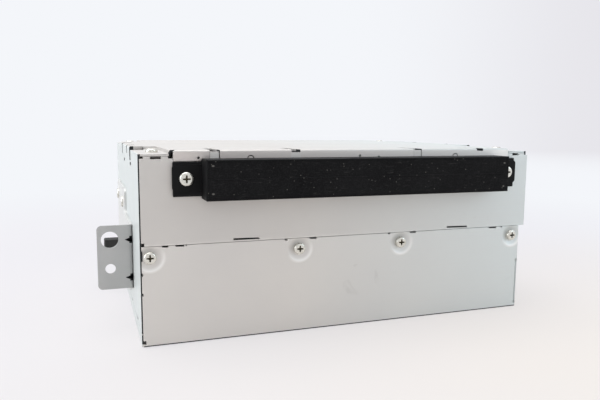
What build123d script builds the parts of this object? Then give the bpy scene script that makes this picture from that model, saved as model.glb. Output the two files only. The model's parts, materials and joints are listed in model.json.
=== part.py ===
from build123d import *
from math import cos, hypot, pi, radians, sin
import os

# Car CD changer, in millimetres.
# The origin is the middle of the case's base face. The front, with the disc slot, faces -Y, and +Z is up.

# ---------------------------------------------------------------- driving dimensions: the case
case_width = 190.3
case_depth = 165.0
case_height = 80.0            # top of the lowered corner pads
top_rise = 1.5                # the middle of the top stands this much above the corner pads
sheet = 1.0                   # steel sheet of the case
seam_height = 42.3            # the seam between the two front plates
seam_gap = 0.16
edge_gap = 0.3                # air between two sheets that meet at an edge
lip_gap = 0.5                 # air between the tray's side lip and the cover's lower edge
fold_gap = 0.3                # air between a folded lip and the sheet behind it
base_lip = 5.0                # side lip of the base tray
pad_width = 12.5              # lowered corner pads of the top
front_pad_depth = 47.0
rear_pad_depth = 34.0
seal_fit = 0.1                # air between two faces that only lie on each other

# front plates
plate_inset = 0.6             # the plates start this far in from the left side
lower_plate_short = 3.1       # the lower plate stops this far before the right side
return_lip = 12.0             # the plates' side lips, folded back
return_lip_drop = 11.1        # the lower plate's side lips end this far below its top edge
flange_drop = 4.6             # front flange of the top, down to behind the slot bezel
flange_start = 14.0           # the front flange starts this far in from the left side
flange_end = 11.9             # and ends this far before the right side
flange_corner_radius = 1.6
flange_relief_width = 1.6     # relief slot round each end of the flange
flange_relief_depth = 3.5
flange_slot_length = 18.0     # the slots at the flange's fold reach this far back in the top
fold_slot_drop = 1.2
hook_tab_width = 3.7
hook_tab_drop = 0.6           # hook tab's end below the top
flange_slit_radius = 1.6      # curved slits in the flange
flange_slit_width = 0.45
flange_slit_drop = 3.75
flange_slit_places = (-48.65, 52.55)      # along X
flange_hole_radius = 0.55
flange_hole_places = ((-70.9, 3.2), (2.2, 2.9), (11.75, 3.5))   # x, and below the top
hook_slot_places = (-66.2, 29.9)          # left edges of the hook tabs' slots
hook_slot_play = 0.55
fold_slots = ((-30.45, 4.1), (64.8, 3.7))   # left edge and width of the shallow slots
corner_edge_drop = 3.4        # the front plate's corners end this far below the top
corner_tab_inset = 2.1
corner_tab_width = 9.8
corner_relief_width = 4.3
corner_relief_depth = 5.0
corner_flange_length = 24.0
vent_setbacks = (105.0, 68.5, 45.0)      # vents over the long edges of the top, front to middle
vent_lengths = (5.0, 4.0, 7.0)
vent_drops = (5.9, 4.2, 6.6)
vent_reaches = (5.5, 4.0, 6.0)
side_slot_places = ((88.2, 8.3), (43.4, 8.0))   # behind the front, and below the top
side_slot_length = 7.0
side_slot_height = 1.6
seam_slot_width = 11.5        # slots in the front plate above the seam
seam_slot_height = 0.85
seam_slot_rise = 0.65
edge_dash_depth = 0.6         # short gaps in the top edge of the lower plate

# fasteners: pan-head machine screws and blind rivets
screw_head_radius = 2.65
screw_head_height = 1.6
screw_radius = 1.45
screw_length = 5.0
screw_hole_play = 0.15
thread_play = 0.02
bezel_screw_head_radius = 2.9
rivet_radius = 1.6
rivet_head_radius = 3.0
rivet_head_height = 1.1
dimple_radius = 5.6
dimple_floor_radius = 3.4
dimple_depth = 0.6
front_screw_drop = 4.7        # below the seam
outer_front_screw_insets = (3.9, 7.6)      # from the left and the right side
inner_front_screw_offsets = (-26.45, 24.35)   # from the middle
top_screw_inset = 7.0
top_screw_setback = 16.0

# slot bezel and its felt
slot_offset = 2.25            # the slot's middle lies this far right of the case's middle
slot_drop = 11.3              # the slot's middle lies this far below the top
slot_width = 128.0
slot_gap = 5.0
bezel_length = 145.3
bezel_block_height = 16.6
bezel_block_drop = 0.45       # the block's middle below the slot's
bezel_block_shift = 0.6       # the block's middle right of the slot's
bezel_depth = 11.5
bezel_ear_length = 11.2
bezel_ear_height = 14.2
bezel_ear_drop = 0.6          # the ear's middle below the slot's
bezel_ear_thickness = 1.2
bezel_pad_height = 11.2
bezel_pad_drop = 0.1
bezel_pad_thickness = 0.8
bezel_screw_spacing = 157.2
bezel_rim = 0.5
felt_thickness = 1.5
felt_slit = 0.3
felt_play = 0.1

# mounting brackets
bracket_sheet = 1.2
ear_reach = 16.0
ear_bottom = 15.2
ear_height = 30.1
ear_setback = 40.0            # behind the front
ear_corner_radius = 2.2
ear_inset = 10.3              # holes, outwards from the case's side
locating_hole_radius = 3.9
locating_hole_height = 38.6
fixing_hole_radius = 2.35
fixing_hole_height = 24.9
bracket_foot_setback = 64.0
bracket_bottom = 8.0
bracket_step_setback = 80.0
bracket_top = 58.0
bracket_rear_gap = 19.0       # bracket's end to the back of the case
rivet_insets = (12.0, 12.0)   # from the step and from the bracket's rear end
rivet_heights = (16.0, 50.0)
bend_radius = 2.0             # outside of the ear's bend
dart_height = 3.2
dart_length = 3.7
dart_wall = 0.7
dart_places = (38.3, 20.3)    # heights of the darts
buffer_setback = 100.0        # rubber buffers on the brackets, behind the front
buffer_depth = 8.0
buffer_reach = 11.4           # outwards from the case's side
buffer_top = 27.4
buffer_height = 12.6

# ---------------------------------------------------------------- driving dimensions: the changer
damper_height = 2.4
mech_sheet = 1.0
mech_side_gap = 5.15          # the changer's base ends this far inside each side of the case
mech_setback = 4.0            # the changer's base starts this far behind the front
mech_back_gap = 4.5
mech_damper_inset = 12.0

disc_thickness = 1.2
stack_setback = 84.5          # middle of the disc stack, behind the front
tray_thickness = 0.6
tray_pitch = 1.8
tray_rim = 0.5
tray_outer_radius = 63.0
tray_inner_radius = 44.0
tray_rim_width = 2.4
tray_start_angle = -65.0
tray_end_angle = 122.0
lower_tray_count = 4
stack_travel = 2.0            # the trays sink this far to leave the disc on the turntable
tray_level_margin = 0.5       # the lowered tray's top lies this far below the disc
tray_headroom = 0.3           # highest tray's rim to the bridge
carrier_headroom = 0.4        # highest of the lower trays' rims to the player's plate
ring_headroom = 0.9           # drive ring to the lowest tray, lowered
bridge_sheet = 0.8

lead_screw_radius = 2.5
lead_screw_pitch_radius = 70.0
lead_screw_ring_steps = (-12, 14, 37)   # the lead screws stand on whole teeth of the drive ring
lead_screw_journal_radius = 1.5
running_fit = 0.05
lobe_radius = 5.5

gear_module = 1.0
ring_teeth = 128
ring_inner_radius = 57.0
ring_lift = 0.8
ring_thickness = 2.2
screw_pinion_teeth = 12
stack_pinion_teeth = 16
stack_wheel_radius = 11.0
stack_gear_ring_steps = 77
mesh_play = 0.1
ring_guide_radius = 2.5
ring_guide_count = 4

turntable_rise = 6.1          # the disc's underside on the turntable lies this far above the chassis
hub_height = 1.2
hub_radius = 7.45
turntable_radius = 13.5
turntable_thickness = 1.9

arm_half_width = 15.2
post_side_gap = 17.15         # the swing post stands this far inside the left side
post_back_gap = 20.835
post_radius = 3.0
carrier_sheet = 0.8
chassis_sheet = 0.8
clamp_sheet = 0.8
puck_depth = 1.4              # the puck hangs this far below the clamp lever's underside
puck_rivet_rise = 1.3         # top of the puck's rivet above the clamp lever's underside
puck_headroom = 0.5           # rivet to the highest tray, lowered
player_damper_height = 2.4
rod_radius = 1.0
rod_spread = 11.5
lens_inner_radius = 23.0      # lens to spindle at the start of a disc
clamp_gap = 0.4               # puck above a raised disc
swing_wheel_teeth = 28
swing_pinion_teeth = 10
swing_wheel_thickness = 2.0
swing_wheel_drop = 3.4        # the swing wheel's underside lies this far below the carrier

roller_radius = 4.5
roller_waist_radius = 3.6
roller_shaft_radius = 1.5
roller_length = 128.0
roller_setback = 12.5
loading_module = 0.5
roller_gear_teeth = 28
loading_pinion_teeth = 18
motor_radius = 5.5
stack_motor_radius = 4.9

# ---------------------------------------------------------------- driving dimensions: electronics
board_height = 6.0
board_thickness = 1.6
board_side_gap = 9.15
board_end_gap = 12.5

# ---------------------------------------------------------------- places worked out from the sizes above
left = -case_width / 2
right = case_width / 2
front = -case_depth / 2
back = case_depth / 2
top = case_height + top_rise
inner_left = left + sheet
inner_right = right - sheet
plate_back = front + sheet
lower_top = seam_height - seam_gap / 2
upper_bottom = seam_height + seam_gap / 2
flange_bottom = top - flange_drop
upper_top = top - corner_edge_drop
lower_right = right - lower_plate_short
front_screw_height = seam_height - front_screw_drop
return_lip_top = lower_top - return_lip_drop
mech_width = case_width - 2 * mech_side_gap
mech_front = front + mech_setback
mech_back = back - mech_back_gap
board_width = case_width - 2 * board_side_gap
board_depth = case_depth - 2 * board_end_gap
stack_x = slot_offset
stack_centre_y = front + stack_setback
post_x = left + post_side_gap
post_y = back - post_back_gap
arm_length = hypot(stack_x - post_x, post_y - stack_centre_y)

# heights inside the changer, from the top down
slot_height = top - slot_drop
bridge_top = top - sheet - seal_fit
bridge_bottom = bridge_top - bridge_sheet
high_tray_level = bridge_bottom - tray_headroom - tray_rim - tray_thickness
clamp_level = high_tray_level - stack_travel - puck_headroom - puck_rivet_rise
puck_bottom = clamp_level - puck_depth
play_tray_level = puck_bottom - clamp_gap - disc_thickness - tray_thickness
seat_height = play_tray_level + tray_thickness - stack_travel + tray_level_margin
chassis_top = seat_height - turntable_rise
chassis_bottom = chassis_top - chassis_sheet
carrier_level = chassis_bottom - player_damper_height - carrier_sheet
lower_stack_height = tray_rim + tray_thickness + (lower_tray_count - 1) * tray_pitch
tray_low_level = carrier_level - carrier_headroom - lower_stack_height
ring_top = tray_low_level - stack_travel - ring_headroom
ring_bottom = ring_top - ring_thickness
mech_top = ring_bottom - ring_lift
mech_bottom = mech_top - mech_sheet
deck_top = mech_bottom - damper_height
deck_bottom = deck_top - sheet

lead_screw_angles = [steps * 360 / ring_teeth for steps in lead_screw_ring_steps]
stack_gear_angle = stack_gear_ring_steps * 360 / ring_teeth
tray_levels = [tray_low_level + i * tray_pitch for i in range(lower_tray_count)]
tray_levels += [play_tray_level, high_tray_level]


def span(x, y, z):
    """Box between two x, two y and two z values."""
    middle = [(low + high) / 2 for low, high in (x, y, z)]
    size = [abs(high - low) for low, high in (x, y, z)]
    return Pos(*middle) * Box(*size)


def rod_z(x, y, z, radius):
    """Upright round bar between two z values."""
    return Pos(x, y, (z[0] + z[1]) / 2) * Cylinder(radius, abs(z[1] - z[0]))


def rod_y(x, y, z, radius):
    """Round bar along Y between two y values."""
    return Pos(x, (y[0] + y[1]) / 2, z) * Rot(90, 0, 0) * Cylinder(radius, abs(y[1] - y[0]))


def rod_x(x, y, z, radius):
    """Round bar along X between two x values."""
    return Pos((x[0] + x[1]) / 2, y, z) * Rot(0, 90, 0) * Cylinder(radius, abs(x[1] - x[0]))


def mirrored(shape):
    """The same shape on the other side of the case."""
    return mirror(shape, about=Plane.YZ)


def polar(radius, angle):
    """Point around the middle of the disc stack."""
    return stack_x + radius * cos(radians(angle)), stack_centre_y + radius * sin(radians(angle))


def save(name, *solids):
    """Write one node, made of one or more separate solids."""
    flat = [solid for shape in solids for solid in shape.solids()]
    export_step(flat[0] if len(flat) == 1 else Compound(children=flat), f"parts/{name}.step")


def ring_sector(inner, outer, start, end, bottom, height):
    """Flat piece of a ring around the disc stack."""
    centre = (stack_x, stack_centre_y)
    sweep = end - start
    outline = [
        CenterArc(centre, outer, start, sweep),
        Line(polar(outer, end), polar(inner, end)),
        CenterArc(centre, inner, start, sweep),
        Line(polar(inner, start), polar(outer, start)),
    ]
    return Pos(0, 0, bottom) * extrude(make_face(outline), height)


def gear(teeth, module, width, bore, phase=0.0):
    """Spur gear about +Z on z 0, with straight flanks and a tooth at the phase angle in degrees."""
    pitch_radius = teeth * module / 2
    root = pitch_radius - 1.15 * module
    tip = pitch_radius + 0.75 * module
    step = 2 * pi / teeth
    points = []
    for i in range(teeth):
        middle = radians(phase) + i * step
        for share, radius in ((-0.3, root), (-0.1, tip), (0.1, tip), (0.3, root)):
            angle = middle + share * step
            points.append((radius * cos(angle), radius * sin(angle)))
    body = extrude(make_face(Polyline(*points, close=True)), width)
    return body - Pos(0, 0, width / 2) * Cylinder(bore, 2 * width)


def pan_screw(head_radius=screw_head_radius):
    """Cross-recess pan-head screw: the head sits on z 0 and the thread points down."""
    head = Pos(0, 0, screw_head_height / 2) * Cylinder(head_radius, screw_head_height)
    head = fillet(head.edges().group_by(Axis.Z)[-1], 0.9)
    shank = Pos(0, 0, -screw_length / 2) * Cylinder(screw_radius, screw_length)
    recess_size = head_radius * 1.1
    recess = Pos(0, 0, screw_head_height) * (Box(recess_size, 0.6, 1.4) + Box(0.6, recess_size, 1.4))
    return head + shank - recess


# ================================================================ case shells
def base_tray():
    """Floor of the case with side lips, locating lugs and board standoffs."""
    tray = span((left, right), (plate_back + seal_fit, back), (0, sheet))
    lip_front = front + sheet + edge_gap
    for side in (1, -1):
        lip = span((left, inner_left), (lip_front, back - sheet), (0, base_lip))
        for setback in (50.0, 110.0):
            lug_y = front + setback
            lug_x = inner_left + seal_fit
            lip += span((inner_left - 0.2, lug_x + sheet), (lug_y - 6, lug_y + 6), (sheet, 3.0))
            lip += span((lug_x, lug_x + sheet), (lug_y - 6, lug_y + 6), (sheet, 14.0))
        tray += lip if side == 1 else mirrored(lip)
    tray -= span((lower_right, right + 1), (front - 1, front + 5.0), (-1, base_lip + 1))
    for x, y in board_posts():
        tray += rod_z(x, y, (sheet / 2, board_height), 3.0)
    for x, y in board_posts():
        tray -= rod_z(x, y, (sheet * 0.5, board_height + 1), screw_radius + thread_play)
    return tray


def top_cover():
    """Top and sides in one folded sheet, with lowered corner pads, a front flange and side vents."""
    side_front = front + sheet + edge_gap
    low_side = base_lip + lip_gap
    cover = span((left, right), (side_front, back), (top - sheet, top))
    cover += span((left, inner_left), (side_front, back), (low_side, top))
    cover += span((inner_right, right), (side_front, back), (low_side, top))
    long_edges = cover.edges().filter_by(Axis.Y).group_by(Axis.Z)[-1]
    cover = fillet(long_edges, 0.9)
    wall = pad_width + sheet
    for start, length in ((side_front, front_pad_depth), (back - rear_pad_depth, rear_pad_depth)):
        for sign in (1, -1):
            reach = (start, start + length)
            edge = (left, left + pad_width) if sign == 1 else (right - pad_width, right)
            cut = span(edge, reach, (case_height, top + 1))
            cover -= cut
            pad_x = (left, left + wall) if sign == 1 else (right - wall, right)
            pad = span(pad_x, reach, (case_height - sheet, case_height))
            riser_x = (left + pad_width, left + wall) if sign == 1 else (right - wall, right - pad_width)
            pad += span(riser_x, reach, (case_height - sheet, top))
            end = (reach[1], reach[1] + sheet) if start == side_front else (reach[0] - sheet, reach[0])
            pad += span(pad_x, end, (case_height - sheet, top - sheet / 2))
            cover += pad
    flange = span(flange_ends(), (front, front + sheet), (flange_bottom, top))
    flange += span(flange_ends(), (front, side_front + 0.5), (top - sheet, top))
    flange = fillet(flange.edges().filter_by(Axis.X).group_by(Axis.Z)[-1].group_by(Axis.Y)[0], 0.8)
    cover += flange
    for x, inwards in zip(flange_ends(), (1, -1)):
        cover -= flange_relief(x, inwards)
    # slots at the fold where the front plate hooks in, and shallow ones between them
    for x, wide, deep in flange_slots():
        cover -= span((x, x + wide), (front - 1, front + flange_slot_length), (top - deep, top + 1))
    for x in flange_slit_places:
        cover -= flange_slit(x)
    for x, drop in flange_hole_places:
        cover -= rod_y(x, (front - 1, plate_back + 0.2), top - drop, flange_hole_radius)
    # three vents folded over each long edge
    for setback, length, low, reach in zip(vent_setbacks, vent_lengths, vent_drops, vent_reaches):
        y = front + setback
        vent = span((left - 1, left + reach), (y - length / 2, y + length / 2), (top - low, top + 1))
        cover -= vent
        cover -= mirrored(vent)
    for setback, drop in side_slot_places:
        y = front + setback
        z = top - drop
        slot = span((left - 1, inner_left + 1), (y - side_slot_length / 2, y + side_slot_length / 2),
                    (z - side_slot_height / 2, z + side_slot_height / 2))
        cover -= slot
        cover -= mirrored(slot)
    for setback in (21.0, 52.0):
        notch_y = front + setback
        notch = span((left - 1, inner_left + 0.2), (notch_y - 2.5, notch_y + 2.5),
                     (low_side - 1, low_side + 1.4))
        cover -= notch
        cover -= mirrored(notch)
    # the right side starts further back below the seam
    relief = span((inner_right - 0.5, right + 1), (front, front + 5.0), (0, seam_height))
    cover -= relief
    for x, y in top_screw_places():
        cover -= rod_z(x, y, (case_height - 2 * sheet, top + 1), screw_radius + screw_hole_play)
    for side in (left - 1, inner_right - 1):
        for y, z in rivet_places():
            cover -= rod_x((side, side + 3), y, z, rivet_radius + running_fit)
    return cover


def flange_ends():
    """Left and right end of the top's front flange."""
    return left + flange_start, right - flange_end


def flange_relief(x, inwards):
    """Cutter for the relief slot that rounds one end of the front flange."""
    middle_x = x + inwards * flange_corner_radius
    middle_z = top - flange_corner_radius
    outer = flange_corner_radius + flange_relief_width
    reach = (front - 1, front + flange_relief_depth)
    ring = rod_y(middle_x, reach, middle_z, outer) - rod_y(middle_x, reach, middle_z, flange_corner_radius)
    quarter = span((middle_x, middle_x - inwards * outer), reach, (middle_z, top + 1))
    return (ring & quarter) + span((x, x - inwards * flange_relief_width), reach, (upper_top + 0.1, middle_z))


def flange_slit(x):
    """Cutter for a slit in the flange, curved over like an arch."""
    z = top - flange_slit_drop
    reach = (front - 1, plate_back + 0.2)
    ring = rod_y(x, reach, z, flange_slit_radius) - rod_y(x, reach, z, flange_slit_radius - flange_slit_width)
    return ring & span((x - 2, x + 2), reach, (z, z + 2))


def flange_slots():
    """Left edge, width and depth of the slots in the front flange."""
    hooks = [(x, hook_tab_width + hook_slot_play, flange_drop + 1) for x in hook_slot_places]
    return hooks + [(x, wide, fold_slot_drop) for x, wide in fold_slots]


def upper_front_plate():
    """Front of the changer: the disc window, hook tabs, corner flanges and folded side lips."""
    face = (front, plate_back)
    plate = span((left + plate_inset, right), face, (upper_bottom, upper_top))
    window = span((slot_offset - slot_width / 2, slot_offset + slot_width / 2), (front - 1, plate_back + 1),
                  (slot_height - slot_gap / 2 - 2, slot_height + slot_gap / 2 + 2))
    plate -= window
    lip_x = inner_left + fold_gap
    plate += span((left + plate_inset, lip_x + sheet), face, (upper_bottom + 3, upper_top - 3))
    for sign in (1, -1):
        lip = span((lip_x, lip_x + sheet), (front + 0.2, plate_back + return_lip),
                   (upper_bottom + 3, upper_top - 3))
        tab = span((left + corner_tab_inset, left + corner_tab_inset + corner_tab_width),
                   (front, plate_back), (upper_top - 1, case_height - sheet - seal_fit))
        tab += span((left + corner_tab_inset, left + corner_tab_inset + corner_tab_width),
                    (front + 0.2, plate_back + corner_flange_length),
                    (case_height - 2 * sheet - seal_fit, case_height - sheet - seal_fit))
        tab -= rod_z(left + top_screw_inset, front + top_screw_setback, (case_height - 4, case_height),
                     screw_radius + thread_play)
        plate += (lip + tab) if sign == 1 else mirrored(lip + tab)
        relief_x = left + corner_tab_inset + (corner_tab_width - corner_relief_width) / 2
        relief = span((relief_x, relief_x + corner_relief_width), (front - 1, plate_back + corner_relief_depth),
                      (upper_top - 0.2, case_height))
        plate -= relief if sign == 1 else mirrored(relief)
    # the cover's flange hangs in front of the middle of the top edge
    flange_left, flange_right = flange_ends()
    plate -= span((flange_left - seal_fit, flange_right + seal_fit), (front - 1, plate_back + 0.1),
                  (flange_bottom - edge_gap, top))
    for x, wide, deep in flange_slots():
        if deep > flange_drop:
            tab_x = x + seal_fit
            plate += span((tab_x, tab_x + hook_tab_width), face, (flange_bottom - 1, top - hook_tab_drop))
    for x in deck_tab_places():
        low = seam_height + seam_slot_rise
        plate -= span((x - seam_slot_width / 2, x + seam_slot_width / 2), (front - 1, plate_back + 1),
                      (low, low + seam_slot_height))
    notch = span((left, left + plate_inset + 1.2), (front - 1, plate_back + 0.1),
                 (upper_bottom - 1, upper_bottom + 1.4))
    plate -= notch
    for x in bezel_screw_places():
        plate -= rod_y(x, (front - 1, plate_back + 1), slot_height - 0.3, screw_radius + thread_play)
    return plate


def lower_front_plate():
    """Lower front with four pressed screw seats, an uneven top edge and folded side lips."""
    bottom = 0.15
    plate = span((left + plate_inset, lower_right), (front, plate_back), (bottom, lower_top))
    lip_x = inner_left + fold_gap
    lip_y = (front + 0.2, plate_back + return_lip)
    lip_z = (base_lip + 2, return_lip_top)
    plate += span((lip_x, lip_x + sheet), lip_y, lip_z)
    plate += span((lower_right - sheet, lower_right), lip_y, lip_z)
    for gap in edge_dashes():
        plate -= span(gap, (front - 1, plate_back + 1), (lower_top - edge_dash_depth, lower_top + 1))
    # relief cuts beside the folded edges
    for start, end in ((6.1, 1.7), (12.3, 10.9), (20.5, 19.3)):
        cut_z = (lower_top - start, lower_top - end)
        plate -= span((left, left + plate_inset + 0.5), (front - 1, plate_back + 1), cut_z)
    plate -= span((left, left + plate_inset + 1.1), (front - 1, plate_back + 1), (bottom + 0.8, bottom + 2.5))
    seam_x = lower_right - 0.75
    plate -= span((seam_x - 0.2, seam_x + 0.2), (front - 0.1, front + 0.55), (1.8, lower_top - 17.2))
    for z in (2.4, lower_top - 17.7):
        plate -= rod_y(seam_x, (front - 1, front + 0.7), z, 0.7)
    for x in front_screw_places():
        boss = Pos(x, front, front_screw_height) * Rot(-90, 0, 0)
        seat = Cone(dimple_radius, dimple_floor_radius, dimple_depth)
        hollow = boss * Pos(0, 0, dimple_depth / 2) * seat
        bulge = boss * Pos(0, 0, sheet + dimple_depth / 2) * seat
        plate = plate + bulge - hollow
        plate -= rod_y(x, (front - 1, plate_back + 2), front_screw_height, screw_radius + screw_hole_play)
    plate -= span((left - 5, left + plate_inset), (front - 1, plate_back + 2), (0, case_height))
    plate -= span((left - 5, inner_left + fold_gap), (plate_back, plate_back + 2),
                  (return_lip_top, case_height))
    plate -= span((left - 5, left + 15), (front - 1, plate_back + 2), (lower_top, case_height))
    return plate


def edge_dashes():
    """Short gaps in the lower plate's top edge, where its screw seats and corners pull it back."""
    dashes = [(left + 8.8, left + 11.4), (left + 14.3, left + 17.9), (left + 18.5, left + 18.9)]
    for x in front_screw_places()[1:-1]:
        dashes += [(x - 7.0, x - 5.7), (x + 4.7, x + 8.1)]
    return dashes + [(right - 21.3, right - 16.9), (right - 13.9, right - 13.3)]


def rear_panel():
    """Back of the case with forward lips, connector windows and deck slots."""
    x_fit = sheet + fold_gap
    panel = span((left + x_fit, right - x_fit), (back - sheet, back),
                 (sheet + seal_fit, case_height - sheet - seal_fit))
    lip_reach = (back - 9.0, back - 0.2)
    panel += span((left + x_fit, left + x_fit + sheet), lip_reach, (base_lip, case_height - 8))
    panel += span((right - x_fit - sheet, right - x_fit), lip_reach, (base_lip, case_height - 8))
    for side in (-1, 1):
        lip_x = side * (case_width / 2 - top_screw_inset)
        tab = span((lip_x - 5, lip_x + 5), (back - 22.0, back - 0.2),
                   (case_height - 2 * sheet - seal_fit, case_height - sheet - seal_fit))
        tab -= rod_z(lip_x, back - top_screw_setback, (case_height - 4, case_height),
                     screw_radius + thread_play)
        panel += tab
    for x in deck_tab_places():
        panel -= deck_tab_slot(x, back - sheet, back)
    x, z, wide, high = harness_place
    panel -= span((x - wide / 2 - 0.2, x + wide / 2 + 0.2), (back - 2, back + 1), (z - 0.2, z + high + 0.2))
    x, z, wide, high = sink_place
    panel -= span((x - wide / 2 - 0.4, x + wide / 2 + 0.4), (back - 2, back + 1), (z - 0.4, z + high + 0.4))
    panel -= rod_y(antenna_x, (back - 2, back + 1), antenna_z, antenna_radius + 0.1)
    for i in range(7):
        for j in range(3):
            panel -= rod_y(-20 + i * 8.0, (back - 2, back + 1), deck_top + 10.4 + j * 7.0, 1.8)
    return panel


def bracket():
    """Left mounting bracket: a side plate on the case and an ear bent outwards."""
    outer = left - bracket_sheet
    rear = back - bracket_rear_gap
    side = Polyline(
        (front + ear_setback, ear_bottom),
        (front + bracket_foot_setback, bracket_bottom),
        (rear, bracket_bottom),
        (rear, bracket_top),
        (front + bracket_step_setback, bracket_top),
        (front + bracket_step_setback, ear_bottom + ear_height),
        (front + ear_setback, ear_bottom + ear_height),
        close=True,
    )
    side_face = Plane.YZ * make_face(side)
    plate = Pos(outer, 0, 0) * extrude(side_face, bracket_sheet)
    rounded = [e for e in plate.edges().filter_by(Axis.X) if e.center().Y > front + ear_setback + 1]
    plate = fillet(rounded, 3.0)
    ear_y = front + ear_setback
    ear = span((left - ear_reach, left), (ear_y, ear_y + bracket_sheet),
               (ear_bottom, ear_bottom + ear_height))
    corners = [e for e in ear.edges().filter_by(Axis.Y) if e.center().X < left - ear_reach + 0.1]
    ear = fillet(corners, ear_corner_radius)
    hole_x = left - ear_inset
    ear -= rod_y(hole_x, (ear_y - 1, ear_y + 3), locating_hole_height, locating_hole_radius)
    ear -= rod_y(hole_x, (ear_y - 1, ear_y + 3), fixing_hole_height, fixing_hole_radius)
    shape = plate + ear
    bend_z = (ear_bottom - 1, ear_bottom + ear_height + 1)
    corner = span((left - bend_radius, left + 1), (ear_y - 1, ear_y + bend_radius), bend_z)
    shape -= corner - rod_z(left - bend_radius, ear_y + bend_radius, bend_z, bend_radius)
    for z in dart_places:
        shape = shape + dart_ridge(z) - dart_hollow(z)
    for y, z in rivet_places():
        shape -= rod_x((outer - 1, left + 1), y, z, rivet_radius + running_fit)
    return shape


def dart_hollow(z):
    """Hollow of a dart: pointed as seen from the front, and deepest at the case's side."""
    ear_y = front + ear_setback
    tip = left - dart_length
    end = left + 0.01
    flank = make_face(Polyline((tip, ear_y - 0.01), (end, ear_y - 0.01), (end, ear_y + dart_length), close=True))
    pointed = make_face(Polyline((tip, z), (end, z - dart_height / 2), (end, z + dart_height / 2), close=True))
    depth = dart_height + 1
    seen = Pos(0, ear_y + dart_length + 1, 0) * extrude(Plane.XZ * pointed, dart_length + 2)
    return (Pos(0, 0, z - depth / 2) * extrude(flank, depth)) & seen


def dart_ridge(z):
    """Ridge that the dart raises in the inner corner of the bend."""
    ear_back = front + ear_setback + bracket_sheet / 2
    outer = left - bracket_sheet / 2
    run = dart_length - bracket_sheet / 2 + dart_wall
    flank = make_face(Polyline((outer - run, ear_back), (outer, ear_back), (outer, ear_back + run), close=True))
    height = dart_height + 2 * dart_wall
    return Pos(0, 0, z - height / 2) * extrude(flank, height)


def bracket_buffers():
    """Rubber buffers on the brackets' sides, behind the ears."""
    y = front + buffer_setback
    block = span((left - buffer_reach, left - bracket_sheet), (y, y + buffer_depth),
                 (buffer_top - buffer_height, buffer_top))
    block = fillet(block.edges().group_by(Axis.X)[0], 0.8)
    return [block, mirrored(block)]


def rivet_places():
    """Y and height of the bracket rivets."""
    columns = (front + bracket_step_setback + rivet_insets[0], back - bracket_rear_gap - rivet_insets[1])
    return [(y, height) for y in columns for height in rivet_heights]


def bracket_rivets():
    """Blind rivets that hold both brackets to the cover's sides."""
    rivets = []
    outer = left - bracket_sheet
    for y, z in rivet_places():
        rivet = rod_x((outer, inner_left), y, z, rivet_radius)
        rivet += fillet(rod_x((outer - rivet_head_height, outer), y, z, rivet_head_radius)
                        .edges().group_by(Axis.X)[0], 0.7)
        rivet += rod_x((inner_left, inner_left + 0.9), y, z, rivet_radius + 0.6)
        rivets.append(rivet)
        rivets.append(mirrored(rivet))
    return rivets


def front_screw_places():
    """Where the lower front plate is screwed, along X."""
    return [left + outer_front_screw_insets[0], *inner_front_screw_offsets, right - outer_front_screw_insets[1]]


def bezel_screw_places():
    """Where the bezel is screwed, along X."""
    return [slot_offset - bezel_screw_spacing / 2, slot_offset + bezel_screw_spacing / 2]


def top_screw_places():
    """Screws through the four corner pads."""
    x = case_width / 2 - top_screw_inset
    return [(-x, front + top_screw_setback), (x, front + top_screw_setback),
            (-x, back - top_screw_setback), (x, back - top_screw_setback)]


def board_posts():
    """Standoffs of the main board."""
    x = board_width / 2 - 6
    y = board_depth / 2 - 6
    return [(-x, -y), (x, -y), (-x, y), (x, y), (0.0, 0.0)]


def deck_tab_places():
    """Tabs of the middle deck in the slots of the front plate and the rear panel."""
    return [-50.65, 55.15]


def deck_tab_slot(x, y_front, y_back):
    """Cutter for the slot that a tab of the middle deck passes through."""
    return span((x - 5.6, x + 5.6), (y_front - 1, y_back + 1), (deck_bottom - 0.2, deck_top + 0.2))


def case_screws():
    """The machine screws of the case: front plate, corner pads and main board."""
    screws = []
    for x in front_screw_places():
        screws.append(Pos(x, front + dimple_depth, front_screw_height) * Rot(90, 0, 0) * pan_screw())
    for x, y in top_screw_places():
        screws.append(Pos(x, y, case_height) * pan_screw())
    for x, y in board_posts():
        screws.append(Pos(x, y, board_height + board_thickness) * pan_screw())
    return screws


def mid_deck():
    """Deck between the changer above and the electronics below, with a drop flange for the front screws."""
    x_range = (inner_left + fold_gap + sheet + seal_fit, inner_right - fold_gap - sheet - seal_fit)
    deck = span(x_range, (plate_back + fold_gap, back - sheet - fold_gap), (deck_bottom, deck_top))
    flange_y = plate_back + dimple_depth + 0.05
    screw_rim = 5.6
    flange_z = (min(front_screw_height - screw_rim, deck_bottom),
                max(front_screw_height + screw_rim - 0.1, deck_bottom + 0.5))
    deck += span((x_range[0], lower_right - sheet - fold_gap), (flange_y, flange_y + sheet), flange_z)
    for x in front_screw_places():
        deck -= rod_y(x, (flange_y - 1, flange_y + screw_length), front_screw_height,
                      screw_radius + thread_play)
    # the deck keeps clear of the slots and gaps in the front, and its rear tabs hold it in the rear panel
    for x in deck_tab_places():
        clear = seam_slot_width / 2 + 1
        deck -= span((x - clear, x + clear), (plate_back, front + 8), (deck_bottom - 0.6, deck_top + 1))
        deck += span((x - 5.3, x + 5.3), (back - sheet - fold_gap - 1, back), (deck_bottom, deck_top))
    for start, end in edge_dashes():
        deck -= span((start - 0.8, end + 0.8), (plate_back, flange_y + 2 * sheet),
                     (lower_top - 2 * edge_dash_depth, deck_bottom))
    # side rails stiffen the deck
    for side in (x_range[0], x_range[1] - sheet):
        deck += span((side, side + sheet), (front + 27.5, back - 27.5), (deck_top - 0.5, deck_top + 6))
    deck -= span((ribbon_x - 14, ribbon_x + 14), (ribbon_y - 6, ribbon_y + 3), (deck_bottom - 1, deck_top + 1))
    return deck


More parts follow.
